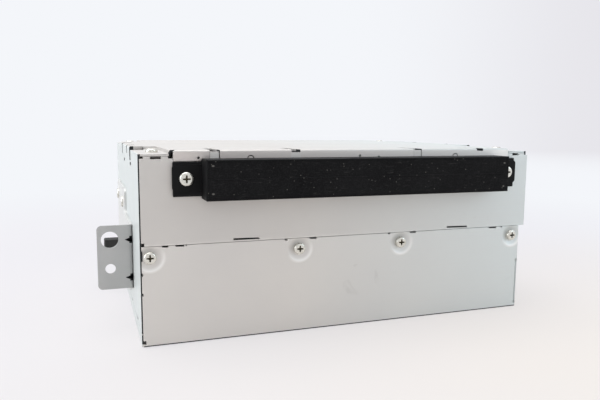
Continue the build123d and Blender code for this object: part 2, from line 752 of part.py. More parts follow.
# ================================================================ slot bezel
def slot_bezel():
    """Black plastic slot surround with two screwed ears and a stepped recess for the felt."""
    half = bezel_length / 2
    middle_x = slot_offset + bezel_block_shift
    middle_z = slot_height - bezel_block_drop
    z = (middle_z - bezel_block_height / 2, middle_z + bezel_block_height / 2)
    block = span((middle_x - half, middle_x + half), (front - bezel_depth, front), z)
    block = chamfer(block.edges().filter_by(Axis.Z).group_by(Axis.Y)[0], 0.8)
    block = fillet(block.edges().filter_by(Axis.X).group_by(Axis.Y)[0], 0.5)
    block -= span((slot_offset - slot_width / 2, slot_offset + slot_width / 2),
                  (front - bezel_depth - 1, front + 1),
                  (slot_height - slot_gap / 2, slot_height + slot_gap / 2))
    recess_half = half - bezel_rim
    block -= span((middle_x - recess_half, middle_x + recess_half),
                  (front - bezel_depth - 1, front - bezel_depth + felt_thickness),
                  (z[0] + bezel_rim, z[1] - bezel_rim))
    ears = None
    for sign in (-1, 1):
        end = half + bezel_ear_length
        x = sorted((slot_offset + sign * (half - 2), slot_offset + sign * end))
        low = slot_height - bezel_ear_drop - bezel_ear_height / 2
        ear = span(x, (front - bezel_ear_thickness, front), (low, low + bezel_ear_height))
        pad_low = slot_height - bezel_pad_drop - bezel_pad_height / 2
        pad_x = sorted((slot_offset + sign * (half - 2), slot_offset + sign * (end + 0.3)))
        pad_y = (front - bezel_ear_thickness - bezel_pad_thickness, front)
        pad = span(pad_x, pad_y, (pad_low, pad_low + bezel_pad_height))
        outer_edges = [e for e in pad.edges().filter_by(Axis.Y) if abs(e.center().X - slot_offset) > half + 5]
        pad = fillet(outer_edges, 1.8)
        ears = ear + pad if ears is None else ears + ear + pad
    bezel = block + ears
    for x in bezel_screw_places():
        bezel -= rod_y(x, (front - 5, front + 1), slot_height - 0.3, screw_radius + screw_hole_play)
    return bezel


def bezel_screws():
    """Two wide-head screws through the bezel's ears."""
    y = front - bezel_ear_thickness - bezel_pad_thickness
    return [Pos(x, y, slot_height - 0.3) * Rot(90, 0, 0) * pan_screw(bezel_screw_head_radius)
            for x in bezel_screw_places()]


def felt_strip(upper):
    """Felt lip of the slot, above or below the slit, rounded where the disc brushes past."""
    half = bezel_length / 2 - bezel_rim - felt_play
    middle_x = slot_offset + bezel_block_shift
    sign = 1 if upper else -1
    edge = bezel_block_height / 2 - bezel_rim - felt_play - sign * bezel_block_drop
    z = sorted((slot_height + sign * felt_slit / 2, slot_height + sign * edge))
    y = (front - bezel_depth + 0.2, front - bezel_depth + felt_thickness - felt_play)
    strip = span((middle_x - half, middle_x + half), y, z)
    lip = strip.edges().filter_by(Axis.X).group_by(Axis.Y)[0].sort_by(Axis.Z)
    return fillet(lip[0] if upper else lip[-1], 0.6)


# ================================================================ changer base and loader
def mech_base_plate():
    """Floating base of the changer with bearings, ring guides and bridge posts."""
    plate = span((-mech_width / 2, mech_width / 2), (mech_front, mech_back), (mech_bottom, mech_top))
    for i in range(ring_guide_count):
        guide = polar(ring_inner_radius - mesh_play - ring_guide_radius, 45 + i * 360 / ring_guide_count)
        plate += rod_z(guide[0], guide[1], (mech_top - 0.5, ring_top), ring_guide_radius)
        rest = polar(ring_inner_radius + 2, 45 + i * 360 / ring_guide_count)
        plate += rod_z(rest[0], rest[1], (mech_top - 0.5, ring_bottom - seal_fit), 3.0)
    for x, y in bridge_posts():
        plate += rod_z(x, y, (mech_top - 0.5, bridge_bottom), 2.5)
    for angle in lead_screw_angles:
        x, y = polar(lead_screw_pitch_radius, angle)
        plate -= rod_z(x, y, (mech_bottom - 1, mech_top + 1), lead_screw_journal_radius + running_fit)
    x, y = stack_gear_place()
    plate += rod_z(x, y, (mech_top - 0.5, ring_top + 4.2), 1.5)
    plate -= rod_z(post_x, post_y, (mech_bottom - 1, mech_top + 1), post_radius)
    plate -= span((ribbon_x - 12, ribbon_x + 12), (ribbon_y - 3, ribbon_y + 3), (mech_bottom - 1, mech_top + 1))
    return plate


def bridge_posts():
    """Posts that carry the bridge over the lead screws."""
    return [polar(76.0, angle) for angle in (-52.0, 2.0, 72.0)]


def mech_dampers():
    """Rubber dampers between the middle deck and the changer's base."""
    dampers = []
    damper_x = mech_width / 2 - mech_damper_inset - 2.0
    for x in (-damper_x, damper_x):
        for y in (mech_front + mech_damper_inset, mech_back - mech_damper_inset):
            damper = rod_z(x, y, (deck_top, mech_bottom), 6.0)
            dampers.append(damper - rod_z(x, y, (deck_top - 1, mech_bottom + 1), 2.0))
    return dampers


def screw_bridge():
    """Curved plate with the upper bearings of the lead screws."""
    bridge = ring_sector(66.0, 79.0, -58.0, 111.0, bridge_bottom, bridge_top - bridge_bottom)
    for angle in lead_screw_angles:
        x, y = polar(lead_screw_pitch_radius, angle)
        bridge -= rod_z(x, y, (bridge_bottom - 1, bridge_top + 1), lead_screw_journal_radius + running_fit)
    return bridge


def loader_frame():
    """Two cheeks and a floor that carry the loading roller, the shutter and the disc guide."""
    y = (front + 6.0, front + roller_setback + 6.0)
    cheek_gap = roller_length / 2 + 3.2
    floor = span((slot_offset - cheek_gap, slot_offset + cheek_gap), y, (mech_top, mech_top + 0.8))
    frame = floor
    for sign in (-1, 1):
        x = sorted((slot_offset + sign * cheek_gap, slot_offset + sign * (cheek_gap + 0.8)))
        cheek = span(x, (front + 3.4, y[1]), (mech_top, slot_height + 1.6))
        cheek -= rod_x((x[0] - 1, x[1] + 1), roller_y, roller_z, roller_shaft_radius + running_fit)
        wing = sorted((slot_offset + sign * (cheek_gap + 0.8), slot_offset + sign * (cheek_gap - 9)))
        wing_plate = span(wing, (front + 3.4, front + 4.2), (mech_top, slot_height + 1.6))
        pin_x = slot_offset + sign * (cheek_gap - 4.0)
        wing_plate -= span((pin_x - 1.05, pin_x + 1.05), (front, front + 6),
                           (shutter_pin_z - 1.05, shutter_pin_z + shutter_travel + 1.05))
        frame += cheek + wing_plate
    frame -= rod_x((slot_offset, slot_offset + cheek_gap + 5), loading_pinion_y, loading_pinion_z, 2.6)
    return frame


def disc_guide():
    """Upper guide over the roller, flared towards the slot."""
    half = roller_length / 2 + 4.0
    level = slot_height + 1.6
    guide = span((slot_offset - half, slot_offset + half), (front + 5.0, front + roller_setback + 6.0),
                 (level, level + 0.8))
    for x in (-44.0, -16.0, 16.0, 44.0):
        rib = span((slot_offset + x - 1, slot_offset + x + 1), (front + 6, front + roller_setback + 5),
                   (level - 0.5, level + 0.4))
        guide += rib
    return guide


def shutter_plate():
    """Plate that rises behind the slot, on two headed pins."""
    half = roller_length / 2 + 1.6
    y = (front + 2.0, front + 2.8)
    plate = span((slot_offset - half, slot_offset + half), y, (slot_height - 10.0, slot_height - 2.9))
    for sign in (-1, 1):
        x = slot_offset + sign * (roller_length / 2 + 3.2 - 4.0)
        plate += rod_y(x, (y[1] - 0.4, y[1] + 2.0), shutter_pin_z, 1.0)
        plate += rod_y(x, (front + 4.4, front + 5.2), shutter_pin_z, 1.7)
    return plate


def loading_roller():
    """Rubber sleeves that narrow towards the middle of the slot."""
    half = roller_length / 2
    sleeves = []
    for sign in (-1, 1):
        cone = Cone(roller_waist_radius, roller_radius, half - 1.0)
        placed = Pos(slot_offset + sign * half / 2, roller_y, roller_z) * Rot(0, 90 * sign, 0) * cone
        bore = rod_x((slot_offset - half, slot_offset + half), roller_y, roller_z, roller_shaft_radius + 0.01)
        sleeves.append(placed - bore)
    return sleeves


def roller_shaft():
    """Steel shaft of the loading roller."""
    ends = (slot_offset - roller_length / 2 - 4.6, slot_offset + roller_length / 2 + 9.0)
    return rod_x(ends, roller_y, roller_z, roller_shaft_radius)


def roller_gear():
    """Gear pressed on the right end of the roller shaft."""
    wheel = gear(roller_gear_teeth, loading_module, 3.0, roller_shaft_radius + 0.01)
    return Pos(loading_gear_x, roller_y, roller_z) * Rot(0, 90, 0) * wheel


def loading_pinion():
    """Motor pinion that drives the roller gear."""
    wheel = gear(loading_pinion_teeth, loading_module, 3.0, 0.8, phase=180 / loading_pinion_teeth)
    shaft = Pos(0, 0, -6.0) * (Pos(0, 0, 4.5) * Cylinder(0.8, 9.0))
    return Pos(loading_gear_x, loading_pinion_y, loading_pinion_z) * Rot(0, 90, 0) * (wheel + shaft)


def can_motor(length, radius):
    """Small can motor along +Z from z 0, with a flat on two sides and a shaft hole."""
    can = Pos(0, 0, length / 2) * Cylinder(radius, length)
    can &= Pos(0, 0, length / 2) * Box(2 * radius, 1.8 * radius, length)
    boss = Pos(0, 0, length + 0.4) * Cylinder(radius * 0.35, 0.8)
    bore = Pos(0, 0, length - 3) * Cylinder(0.8 + running_fit, 10)
    return can + boss - bore


def loading_motor():
    """Motor under the roller; its shaft points to the right."""
    length = 24.0
    place = Pos(loading_gear_x - 4.0 - length, loading_pinion_y, loading_pinion_z)
    return place * Rot(0, 90, 0) * can_motor(length, motor_radius)


# ================================================================ disc stack
def disc_tray(level):
    """C-shaped disc tray with a centring rim and three lobes that ride on the lead screws."""
    tray = ring_sector(tray_inner_radius, tray_outer_radius, tray_start_angle, tray_end_angle,
                       level, tray_thickness)
    tray += ring_sector(tray_outer_radius - tray_rim_width, tray_outer_radius, tray_start_angle, tray_end_angle,
                        level + tray_thickness / 2, tray_thickness / 2 + tray_rim)
    for angle in lead_screw_angles:
        x, y = polar(lead_screw_pitch_radius, angle)
        web = Pos(*polar(lead_screw_pitch_radius - 5, angle), level + tray_thickness / 2) * Rot(0, 0, angle)
        tray += web * Box(10, 2 * lobe_radius, tray_thickness)
        tray += rod_z(x, y, (level, level + tray_thickness), lobe_radius)
    for angle in lead_screw_angles:
        x, y = polar(lead_screw_pitch_radius, angle)
        tray -= rod_z(x, y, (level - 1, level + 2), lead_screw_radius + running_fit)
    return tray


def lead_screw(angle):
    """Upright screw with end journals and a pinion driven by the ring."""
    x, y = polar(lead_screw_pitch_radius, angle)
    pinion = gear(screw_pinion_teeth, gear_module, ring_thickness, lead_screw_radius - 0.5,
                  phase=angle + 180 + 180 / screw_pinion_teeth)
    screw = Pos(x, y, ring_bottom) * pinion
    screw += rod_z(x, y, (mech_top + 0.1, bridge_bottom - 0.1), lead_screw_radius)
    screw += rod_z(x, y, (mech_bottom, bridge_top), lead_screw_journal_radius)
    return screw


def drive_ring():
    """Ring gear that turns the three lead screws together."""
    wheel = gear(ring_teeth, gear_module, ring_thickness, ring_inner_radius)
    return Pos(stack_x, stack_centre_y, ring_bottom) * wheel


def stack_gear_place():
    """Axis of the intermediate gear beside the ring."""
    distance = (ring_teeth + stack_pinion_teeth) * gear_module / 2 + mesh_play
    return polar(distance, stack_gear_angle)


def stack_gear():
    """Worm wheel over a small pinion that drives the ring."""
    x, y = stack_gear_place()
    pinion = gear(stack_pinion_teeth, gear_module, ring_thickness + 0.6, 1.5 + running_fit,
                  phase=stack_gear_angle + 180 + 180 / stack_pinion_teeth)
    wheel = gear(44, 0.5, 2.6, 1.5 + running_fit)
    return Pos(x, y, ring_bottom) * (pinion + Pos(0, 0, ring_thickness + 0.6) * wheel)


def stack_worm():
    """Worm on the stack motor's shaft."""
    worm = rod_y(worm_x, (worm_y - 6, worm_y + 6), worm_z, 2.5)
    worm += rod_y(worm_x, (worm_y - 8, worm_y + 12), worm_z, 0.8)
    return worm


def stack_motor():
    """Motor behind the worm, with a bracket that reaches the changer's base."""
    length = 22.0
    motor = Pos(worm_x, worm_y + 9.0 + length, worm_z) * Rot(90, 0, 0) * can_motor(length, stack_motor_radius)
    foot = span((worm_x - 2, worm_x + 2), (worm_y + 12, worm_y + 26),
                (mech_top, worm_z - stack_motor_radius * 0.85))
    return motor + foot


# ================================================================ swinging player
def arm(shape):
    """Place a shape drawn along the arm (post at the origin, turntable on +X) in its parked position."""
    return Pos(post_x, post_y, 0) * Rot(0, 0, -90) * shape


def rounded_bar(start, end, half_width, z):
    """Flat bar along the arm whose ends are half circles at the start and end places."""
    bar = span((start, end), (-half_width, half_width), z)
    return bar + rod_z(start, 0, z, half_width) + rod_z(end, 0, z, half_width)


def swing_post():
    """Fixed post that the player swings on."""
    return rod_z(post_x, post_y, (mech_bottom, carrier_level + 17.0), post_radius)


def swing_carrier():
    """Swinging plate with a sleeve on the post and two cheeks for the clamp lever."""
    z = (carrier_level, carrier_level + carrier_sheet)
    plate = rounded_bar(0, arm_length, arm_half_width, z)
    wheel_bottom = carrier_level - swing_wheel_drop
    plate += rod_z(0, 0, (wheel_bottom, carrier_level + 3.0), post_radius + 2.2)
    wheel = gear(swing_wheel_teeth, gear_module, swing_wheel_thickness, post_radius + 1)
    plate += Pos(0, 0, wheel_bottom) * wheel
    plate -= rod_z(0, 0, (wheel_bottom - 1, carrier_level + 5), post_radius + running_fit)
    plate -= rod_z(arm_length, 0, (carrier_level - 1, carrier_level + 2), 10.8)
    plate -= span((30, arm_length - 12), (-9, 9), (carrier_level - 1, carrier_level + 2))
    for side in (-1, 1):
        y = sorted((side * (arm_half_width - 0.8), side * arm_half_width))
        cheek = span((8.0, 15.0), y, (carrier_level, clamp_pin_z + 2.4))
        plate += cheek
    for side in (-1, 1):
        cheek_y = side * arm_half_width
        plate -= rod_y(clamp_pin_u, (cheek_y - 1.5, cheek_y + 1.5), clamp_pin_z, 1.0 + running_fit)
    return plate


def swing_pinion_y():
    """The pinion stands in front of the post, under the parked arm."""
    return post_y - (swing_wheel_teeth + swing_pinion_teeth) * gear_module / 2 - mesh_play


def swing_pinion():
    """Pinion that turns the carrier's wheel, on the swing motor's shaft."""
    phase = 90 + 180 / swing_pinion_teeth
    bottom = carrier_level - swing_wheel_drop
    wheel = gear(swing_pinion_teeth, gear_module, swing_wheel_thickness, 0.7, phase=phase)
    place = Pos(post_x, swing_pinion_y(), bottom)
    return place * wheel + rod_z(post_x, swing_pinion_y(), (bottom - 5.0, bottom + swing_wheel_thickness), 0.8)


def swing_motor():
    """Upright motor on the changer's base."""
    length = carrier_level - swing_wheel_drop - 1.2 - mech_top
    return Pos(post_x, swing_pinion_y(), mech_top) * can_motor(length, motor_radius)


def player_dampers():
    """Rubber dampers between the swinging plate and the player's chassis."""
    low = carrier_level + carrier_sheet
    z = (low, low + player_damper_height)
    return [arm(rod_z(u, v, z, 2.4)) for u in (27.0, arm_length - 16) for v in (-12.0, 12.0)]


def player_chassis():
    """Chassis of the player with rod holders, a motor wall and a pickup window."""
    z = (chassis_bottom, chassis_top)
    plate = span((21.0, arm_length), (-14.6, 14.6), z) + rod_z(arm_length, 0, z, 14.6)
    plate -= rod_z(arm_length, 0, (z[0] - 1, z[1] + 1), 10.3)
    plate -= span((30.0, arm_length - 13.5), (-9.0, 9.0), (z[0] - 1, z[1] + 1))
    for u in (rods_u[0] + 1, rods_u[1] - 1):
        for v in (-rod_spread, rod_spread):
            plate += span((u - 1.5, u + 1.5), (v - 2, v + 2), (z[0], rod_z_level + 1.8))
    plate += span((21.0, 22.0), (0.5, 12.5), (z[0], sled_axis_z + 4.2))
    bearing_u = (arm_length - 13, arm_length - 11)
    plate += span(bearing_u, (sled_axis_v - 2, sled_axis_v + 2), (z[0], sled_axis_z + 2.2))
    for v in (-rod_spread, rod_spread):
        plate -= rod_x(rods_u, v, rod_z_level, rod_radius + 0.01)
    plate -= rod_x((20.0, arm_length - 10), sled_axis_v, sled_axis_z, 1.25 + running_fit)
    return plate


def guide_rods():
    """Two polished rods that carry the pickup."""
    return [arm(rod_x(rods_u, v, rod_z_level, rod_radius)) for v in (-rod_spread, rod_spread)]


def spindle_motor():
    """Flat spindle motor with a flange on the chassis."""
    motor = rod_z(arm_length, 0, (chassis_bottom - 1.8, chassis_top + 3.4), 10.0)
    motor += rod_z(arm_length, 0, (chassis_top, chassis_top + 0.6), 11.5)
    return motor - rod_z(arm_length, 0, (chassis_bottom, chassis_top + 5), 0.75 + running_fit)


def turntable():
    """Turntable with a centring hub on the spindle shaft."""
    table = rod_z(arm_length, 0, (seat_height - turntable_thickness, seat_height), turntable_radius)
    hub = rod_z(arm_length, 0, (seat_height - 0.5, seat_height + hub_height), hub_radius)
    hub = chamfer(hub.edges().group_by(Axis.Z)[-1], 0.7)
    return table + hub + rod_z(arm_length, 0, (chassis_bottom + 0.2, seat_height), 0.75)


def clamp_lever():
    """Lever over the disc, with trunnions in the carrier's cheeks and a ring end for the puck."""
    z = (clamp_level, clamp_level + clamp_sheet)
    lever = span((clamp_pin_u - 3, 30.0), (-14.0, 14.0), z)
    lever += span((28.0, arm_length), (-6.0, 6.0), z) + rod_z(arm_length, 0, z, 9.0)
    for side in (-1, 1):
        y = sorted((side * 13.2, side * 14.0))
        lever += span((clamp_pin_u - 2.4, clamp_pin_u + 2.4), y, (clamp_pin_z - 1.6, clamp_level + 0.4))
        pin = sorted((side * 13.6, side * (arm_half_width + 0.4)))
        lever += rod_y(clamp_pin_u, pin, clamp_pin_z, 1.0)
    return lever - rod_z(arm_length, 0, (clamp_level - 1, clamp_level + 2), 4.0)


def clamp_puck():
    """Puck that presses the disc on the turntable, held in the lever's ring."""
    puck = rod_z(arm_length, 0, (puck_bottom, clamp_level - 0.1), 13.0)
    puck += rod_z(arm_length, 0, (clamp_level - 0.5, clamp_level + 1.0), 3.8)
    puck += rod_z(arm_length, 0, (clamp_level + clamp_sheet + 0.1, clamp_level + puck_rivet_rise), 5.0)
    return puck - rod_z(arm_length, 0, (puck_bottom - 1, puck_bottom + 0.9), hub_radius + 0.4)


def pickup_sled():
    """Optical pickup: die-cast body on the guide rods with a lens on top, at the start of a disc."""
    lens_u = arm_length - lens_inner_radius
    body = span((lens_u - 15.0, lens_u + 8.6), (-13.4, 13.4), (chassis_top + 0.4, sled_top))
    body += span((lens_u - 11.0, lens_u + 7.0), (-8.0, 8.0), (chassis_bottom - 1.6, chassis_top + 1))
    body += rod_z(lens_u, 0, (sled_top - 0.5, sled_top + 0.3), 5.0)
    body += rod_z(lens_u, 0, (sled_top, sled_top + 0.7), 2.6)
    for v in (-rod_spread, rod_spread):
        body -= rod_x((lens_u - 20, lens_u + 20), v, rod_z_level, rod_radius + running_fit)
    return body - rod_x((lens_u - 20, lens_u + 20), sled_axis_v, sled_axis_z, 1.25 + running_fit)


def sled_screw():
    """Screw that drives the pickup along the rods."""
    thread = rod_x((22.1, arm_length - 11.2), sled_axis_v, sled_axis_z, 1.25)
    return thread + rod_x((16.0, 23.0), sled_axis_v, sled_axis_z, 0.8)


def sled_motor():
    """Small motor on the chassis wall."""
    motor = can_motor(11.2, 3.9) - Pos(0, 0, 8) * Cylinder(0.85, 8)
    return Pos(9.0, sled_axis_v, sled_axis_z) * Rot(0, 90, 0) * motor


# ================================================================ electronics
def main_board():
    """Printed board on five standoffs."""
    half_x = board_width / 2
    half_y = board_depth / 2
    board = span((-half_x, half_x), (-half_y, half_y), (board_height, board_height + board_thickness))
    for x, y in board_posts():
        board -= rod_z(x, y, (board_height - 1, board_height + 4), screw_radius + screw_hole_play)
    return board


def board_components():
    """Capacitors, coil and chips on the main board."""
    base = board_height + board_thickness
    row_x = 26 - board_width / 2
    row_y = 22 - board_depth / 2
    parts = [rod_z(row_x + 16 * i, row_y, (base, base + 21), 6.3) for i in range(4)]
    parts.append(rod_z(24, -46, (base, base + 9), 9.0) - rod_z(24, -46, (base - 1, base + 12), 4.0))
    chips = ((-30, -14, 20, 20, 2.4), (30, -10, 14, 14, 1.8), (58, -20, 10, 22, 3.2), (-62, -12, 16, 8, 2))
    for x, y, wide, deep, high in chips:
        parts.append(span((x - wide / 2, x + wide / 2), (y - deep / 2, y + deep / 2), (base, base + high)))
    return parts


def tuner_module():
    """Screened tuner can."""
    base = board_height + board_thickness
    x = 8 - board_width / 2
    y = board_depth / 2 - 8
    can = span((x, x + 48), (y - 40, y), (base, base + 15))
    return fillet(can.edges().group_by(Axis.Z)[-1], 0.6)


def heat_sink():
    """Finned heat sink that fills the window in the rear panel."""
    x, z, wide, high = sink_place
    sink = span((x - wide / 2, x + wide / 2), (back - 14, back - 10), (z, z + high))
    pitch = wide / 12
    for i in range(12):
        fin_x = x - wide / 2 + pitch * (i + 0.5)
        sink += span((fin_x - 0.9, fin_x + 0.9), (back - 11, back + 2.5), (z, z + high))
    base = board_height + board_thickness
    return sink + span((x - wide / 2, x + wide / 2), (back - 14, back - 10), (base, z + 1))


def power_amplifier():
    """Power amplifier chip against the heat sink."""
    x, z, wide, high = sink_place
    base = board_height + board_thickness
    return span((x - 14, x + 14), (back - 19, back - 14), (base, base + 17))


def harness_connector():
    """Main harness socket: an open plastic box with pins."""
    x, z, wide, high = harness_place
    box = span((x - wide / 2, x + wide / 2), (back - 12, back + 8), (z, z + high))
    hollow = span((x - wide / 2 + 1.5, x + wide / 2 - 1.5), (back - 5, back + 9), (z + 1.5, z + high - 1.5))
    box -= hollow
    for i in range(10):
        for j in range(2):
            pin_x = x - wide / 2 + 4.5 + i * (wide - 9) / 9
            pin_z = z + high * (0.33 + 0.34 * j)
            box += span((pin_x - 0.5, pin_x + 0.5), (back - 6, back + 4), (pin_z - 0.5, pin_z + 0.5))
    return box


def antenna_socket():
    """Round antenna socket in the rear panel."""
    socket = rod_y(antenna_x, (back - 10, back + 9), antenna_z, antenna_radius)
    socket -= rod_y(antenna_x, (back - 4, back + 10), antenna_z, antenna_radius - 1.2)
    socket += rod_y(antenna_x, (back - 5, back + 5), antenna_z, 1.0)
    foot = span((antenna_x - 3, antenna_x + 3), (back - 9.5, back - 5), (board_height, antenna_z - 2))
    return socket + foot


def ribbon_cable():
    """Flat cable from the main board up to the changer's base."""
    low = board_height + board_thickness
    bend = 2.0
    start_y = ribbon_y - 17
    level = low + 0.2
    corners = ((0, start_y, level), (0, ribbon_y, level), (0, ribbon_y, mech_bottom - 0.3))
    path = FilletPolyline(*corners, radius=bend)
    section = Plane(origin=(0, start_y, level), z_dir=(0, 1, 0)) * Rectangle(0.3, ribbon_width)
    return Pos(ribbon_x, 0, 0) * sweep(section, path=path)


# ---------------------------------------------------------------- places inside the changer
roller_y = front + roller_setback
roller_z = slot_height - disc_thickness / 2 - roller_radius
shutter_travel = 5.0
shutter_pin_z = slot_height - 9.0
loading_gear_x = slot_offset + roller_length / 2 + 5.2
loading_pinion_y = roller_y
loading_pinion_z = roller_z - (roller_gear_teeth + loading_pinion_teeth) * loading_module / 2 - mesh_play
worm_x = stack_gear_place()[0] - stack_wheel_radius - 2.5 - 0.6
worm_y = stack_gear_place()[1]
worm_z = ring_top + 0.6 + 2.6 / 2
rod_z_level = chassis_top + 1.8
rods_u = (22.5, arm_length - 7.5)
sled_axis_v = 6.5
sled_axis_z = rod_z_level + 0.2
sled_top = seat_height - turntable_thickness
clamp_pin_u = 11.5
clamp_pin_z = clamp_level - 1.6

# connector windows in the rear panel: middle x, bottom z, width and height
harness_place = (-8.0, 9.0, 46.0, 16.0)
sink_bottom = 12.0
sink_place = (right - 37.15, sink_bottom, 52.0, deck_bottom - 4.6 - sink_bottom)
antenna_x = left + 33.15
antenna_z = 17.0
antenna_radius = 5.5

# flat cable up to the changer
ribbon_x = -10.0
ribbon_y = back - 19.5
ribbon_width = 18.0

os.makedirs("parts", exist_ok=True)

save("base_tray", base_tray())
save("top_cover", top_cover())
save("upper_front_plate", upper_front_plate())
save("lower_front_plate", lower_front_plate())
save("rear_panel", rear_panel())
left_bracket = bracket()
save("left_bracket", left_bracket)
save("right_bracket", mirrored(left_bracket))
save("bracket_rivets", *bracket_rivets())
save("bracket_buffers", *bracket_buffers())
save("case_screws", *case_screws())
save("mid_deck", mid_deck())
save("slot_bezel", slot_bezel())
save("bezel_screws", *bezel_screws())
save("felt_strips", felt_strip(True), felt_strip(False))
save("mech_base_plate", mech_base_plate())
save("mech_dampers", *mech_dampers())
save("screw_bridge", screw_bridge())
save("loader_frame", loader_frame())
save("disc_guide", disc_guide())
save("shutter_plate", shutter_plate())
save("loading_roller", *loading_roller())
save("roller_shaft", roller_shaft())
save("roller_gear", roller_gear())
save("loading_pinion", loading_pinion())
save("loading_motor", loading_motor())
for number, level in enumerate(tray_levels, start=1):
    save(f"disc_tray_{number}", disc_tray(level))
for place, angle in zip(("front_right", "rear_right", "rear_left"), lead_screw_angles):
    save(f"lead_screw_{place}", lead_screw(angle))
save("drive_ring", drive_ring())
save("stack_gear", stack_gear())
save("stack_worm", stack_worm())
save("stack_motor", stack_motor())
save("swing_post", swing_post())
save("swing_carrier", arm(swing_carrier()))
save("swing_pinion", swing_pinion())
save("swing_motor", swing_motor())
save("player_dampers", *player_dampers())
save("player_chassis", arm(player_chassis()))
save("guide_rods", *guide_rods())
save("spindle_motor", arm(spindle_motor()))
save("turntable", arm(turntable()))
save("clamp_lever", arm(clamp_lever()))
save("clamp_puck", arm(clamp_puck()))
save("pickup_sled", arm(pickup_sled()))
save("sled_screw", arm(sled_screw()))
save("sled_motor", arm(sled_motor()))
save("main_board", main_board())
save("board_components", *board_components())
save("tuner_module", tuner_module())
save("power_amplifier", power_amplifier())
save("heat_sink", heat_sink())
save("harness_connector", harness_connector())
save("antenna_socket", antenna_socket())
save("ribbon_cable", ribbon_cable())
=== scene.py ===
"""Looks of the car CD changer: finishes, fine pieces, stage, lights and camera."""

from __future__ import annotations

import json
import logging
import math
from dataclasses import dataclass, field
from enum import Enum, IntEnum
from typing import Any, NamedTuple

import bmesh
import bpy
from mathutils import Matrix, Vector, noise

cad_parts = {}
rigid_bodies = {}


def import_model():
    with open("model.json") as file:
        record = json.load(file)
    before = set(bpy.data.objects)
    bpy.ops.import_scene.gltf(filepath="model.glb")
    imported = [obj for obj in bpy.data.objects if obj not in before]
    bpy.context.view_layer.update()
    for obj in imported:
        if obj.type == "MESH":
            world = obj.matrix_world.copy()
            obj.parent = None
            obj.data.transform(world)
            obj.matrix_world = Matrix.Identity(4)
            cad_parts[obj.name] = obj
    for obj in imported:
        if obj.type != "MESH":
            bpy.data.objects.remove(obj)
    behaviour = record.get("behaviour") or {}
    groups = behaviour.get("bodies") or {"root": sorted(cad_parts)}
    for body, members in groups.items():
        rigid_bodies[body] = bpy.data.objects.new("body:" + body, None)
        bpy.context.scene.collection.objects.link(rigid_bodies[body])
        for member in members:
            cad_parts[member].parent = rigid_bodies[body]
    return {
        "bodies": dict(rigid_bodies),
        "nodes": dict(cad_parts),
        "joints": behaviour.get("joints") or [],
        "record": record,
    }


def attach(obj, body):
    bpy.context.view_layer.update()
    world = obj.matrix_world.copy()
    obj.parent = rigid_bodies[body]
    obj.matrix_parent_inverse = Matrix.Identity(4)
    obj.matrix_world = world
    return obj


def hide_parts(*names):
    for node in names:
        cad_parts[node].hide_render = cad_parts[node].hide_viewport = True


LOG = logging.getLogger("changer_scene")
MM = 0.001
# Corners nearer than this, in metres, are one corner.
WELD = 2e-6

Pair = tuple[float, float]
Triple = tuple[float, float, float]
Tree = bpy.types.NodeTree
Socket = bpy.types.NodeSocket
Axes = tuple[Socket, ...]
# A shade is a hex colour or the socket of one, and a layer is the share and the shade that it lays.
Shade = str | Socket
Layer = tuple[Socket, Shade]


class Axis(IntEnum):
    """The axes of the part's frame, by number."""

    X = 0
    Y = 1
    Z = 2


class Body(Enum):
    """The moving groups of the changer that this script's pieces ride on."""

    CASE = "case"
    WORM = "worm"
    SCREW_FRONT_RIGHT = "screw_front_right"
    SCREW_REAR_RIGHT = "screw_rear_right"
    SCREW_REAR_LEFT = "screw_rear_left"


class Curve(Enum):
    """How a ramp goes from one end to the other."""

    STRAIGHT = "LINEAR"
    SOFT = "SMOOTHSTEP"


class Slot(Enum):
    """The material slots of the part's record."""

    SHEET = "galvanised"
    BRACKET = "bracket_steel"
    SCREW = "plated_screw"
    PLASTIC = "black_plastic"
    FELT = "black_felt"
    RUBBER = "rubber"
    GEAR = "gear_plastic"
    SHAFT = "steel_shaft"
    MOTOR = "motor_can"
    BOARD = "circuit_board"
    COMPONENT = "component_plastic"
    TUNER = "tuner_can"
    HEAT_SINK = "heat_sink_alloy"
    ANTENNA = "antenna_metal"


# ---------------------------------------------------------------- small tools
def linear(code: str) -> tuple[float, float, float, float]:
    """Turn an sRGB hex colour into linear red, green, blue and alpha.

    Args:
        code: six hex digits after a number sign.

    Returns:
        The linear colour with alpha 1.
    """
    parts = [int(code[i : i + 2], 16) / 255 for i in (1, 3, 5)]
    red, green, blue = [p / 12.92 if p <= 0.04045 else ((p + 0.055) / 1.055) ** 2.4 for p in parts]
    return red, green, blue, 1.0


def per_mm(size_mm: float) -> float:
    """Scale of a texture whose pattern repeats about every size_mm, on coordinates in metres."""
    return 1.0 / (size_mm * MM)


def add_node(tree: Tree, kind: str, settings: dict[Any, Any] | None = None) -> bpy.types.Node:
    """Add a shader node with its settings and links.

    Args:
        tree: node tree that gets the node.
        kind: Blender's name for the type of node.
        settings: a value or the socket that feeds it, by the name or number of an input, and values by
            the names of properties.

    Returns:
        The new node.
    """
    node = tree.nodes.new(kind)
    for key, value in (settings or {}).items():
        if isinstance(value, Socket):
            tree.links.new(value, node.inputs[key])
        elif isinstance(key, int) or key in node.inputs:
            node.inputs[key].default_value = value
        else:
            setattr(node, key, value)
    return node


def empty_tree(owner: bpy.types.Material | bpy.types.World) -> Tree:
    """Give a new material or world a node tree with nothing in it.

    Args:
        owner: the material or world.

    Returns:
        Its node tree.
    """
    owner.use_nodes = True
    owner.node_tree.nodes.clear()
    return owner.node_tree


def meeting(tree: Tree, *shares: Socket) -> Socket:
    """Keep what several shares have in common, as their product.

    Args:
        tree: node tree that gets the product.
        shares: the shares.

    Returns:
        The product's socket.
    """
    common = shares[0]
    for share in shares[1:]:
        common = add_node(tree, "ShaderNodeMath", {"operation": "MULTIPLY", 0: common, 1: share}).outputs[0]
    return common


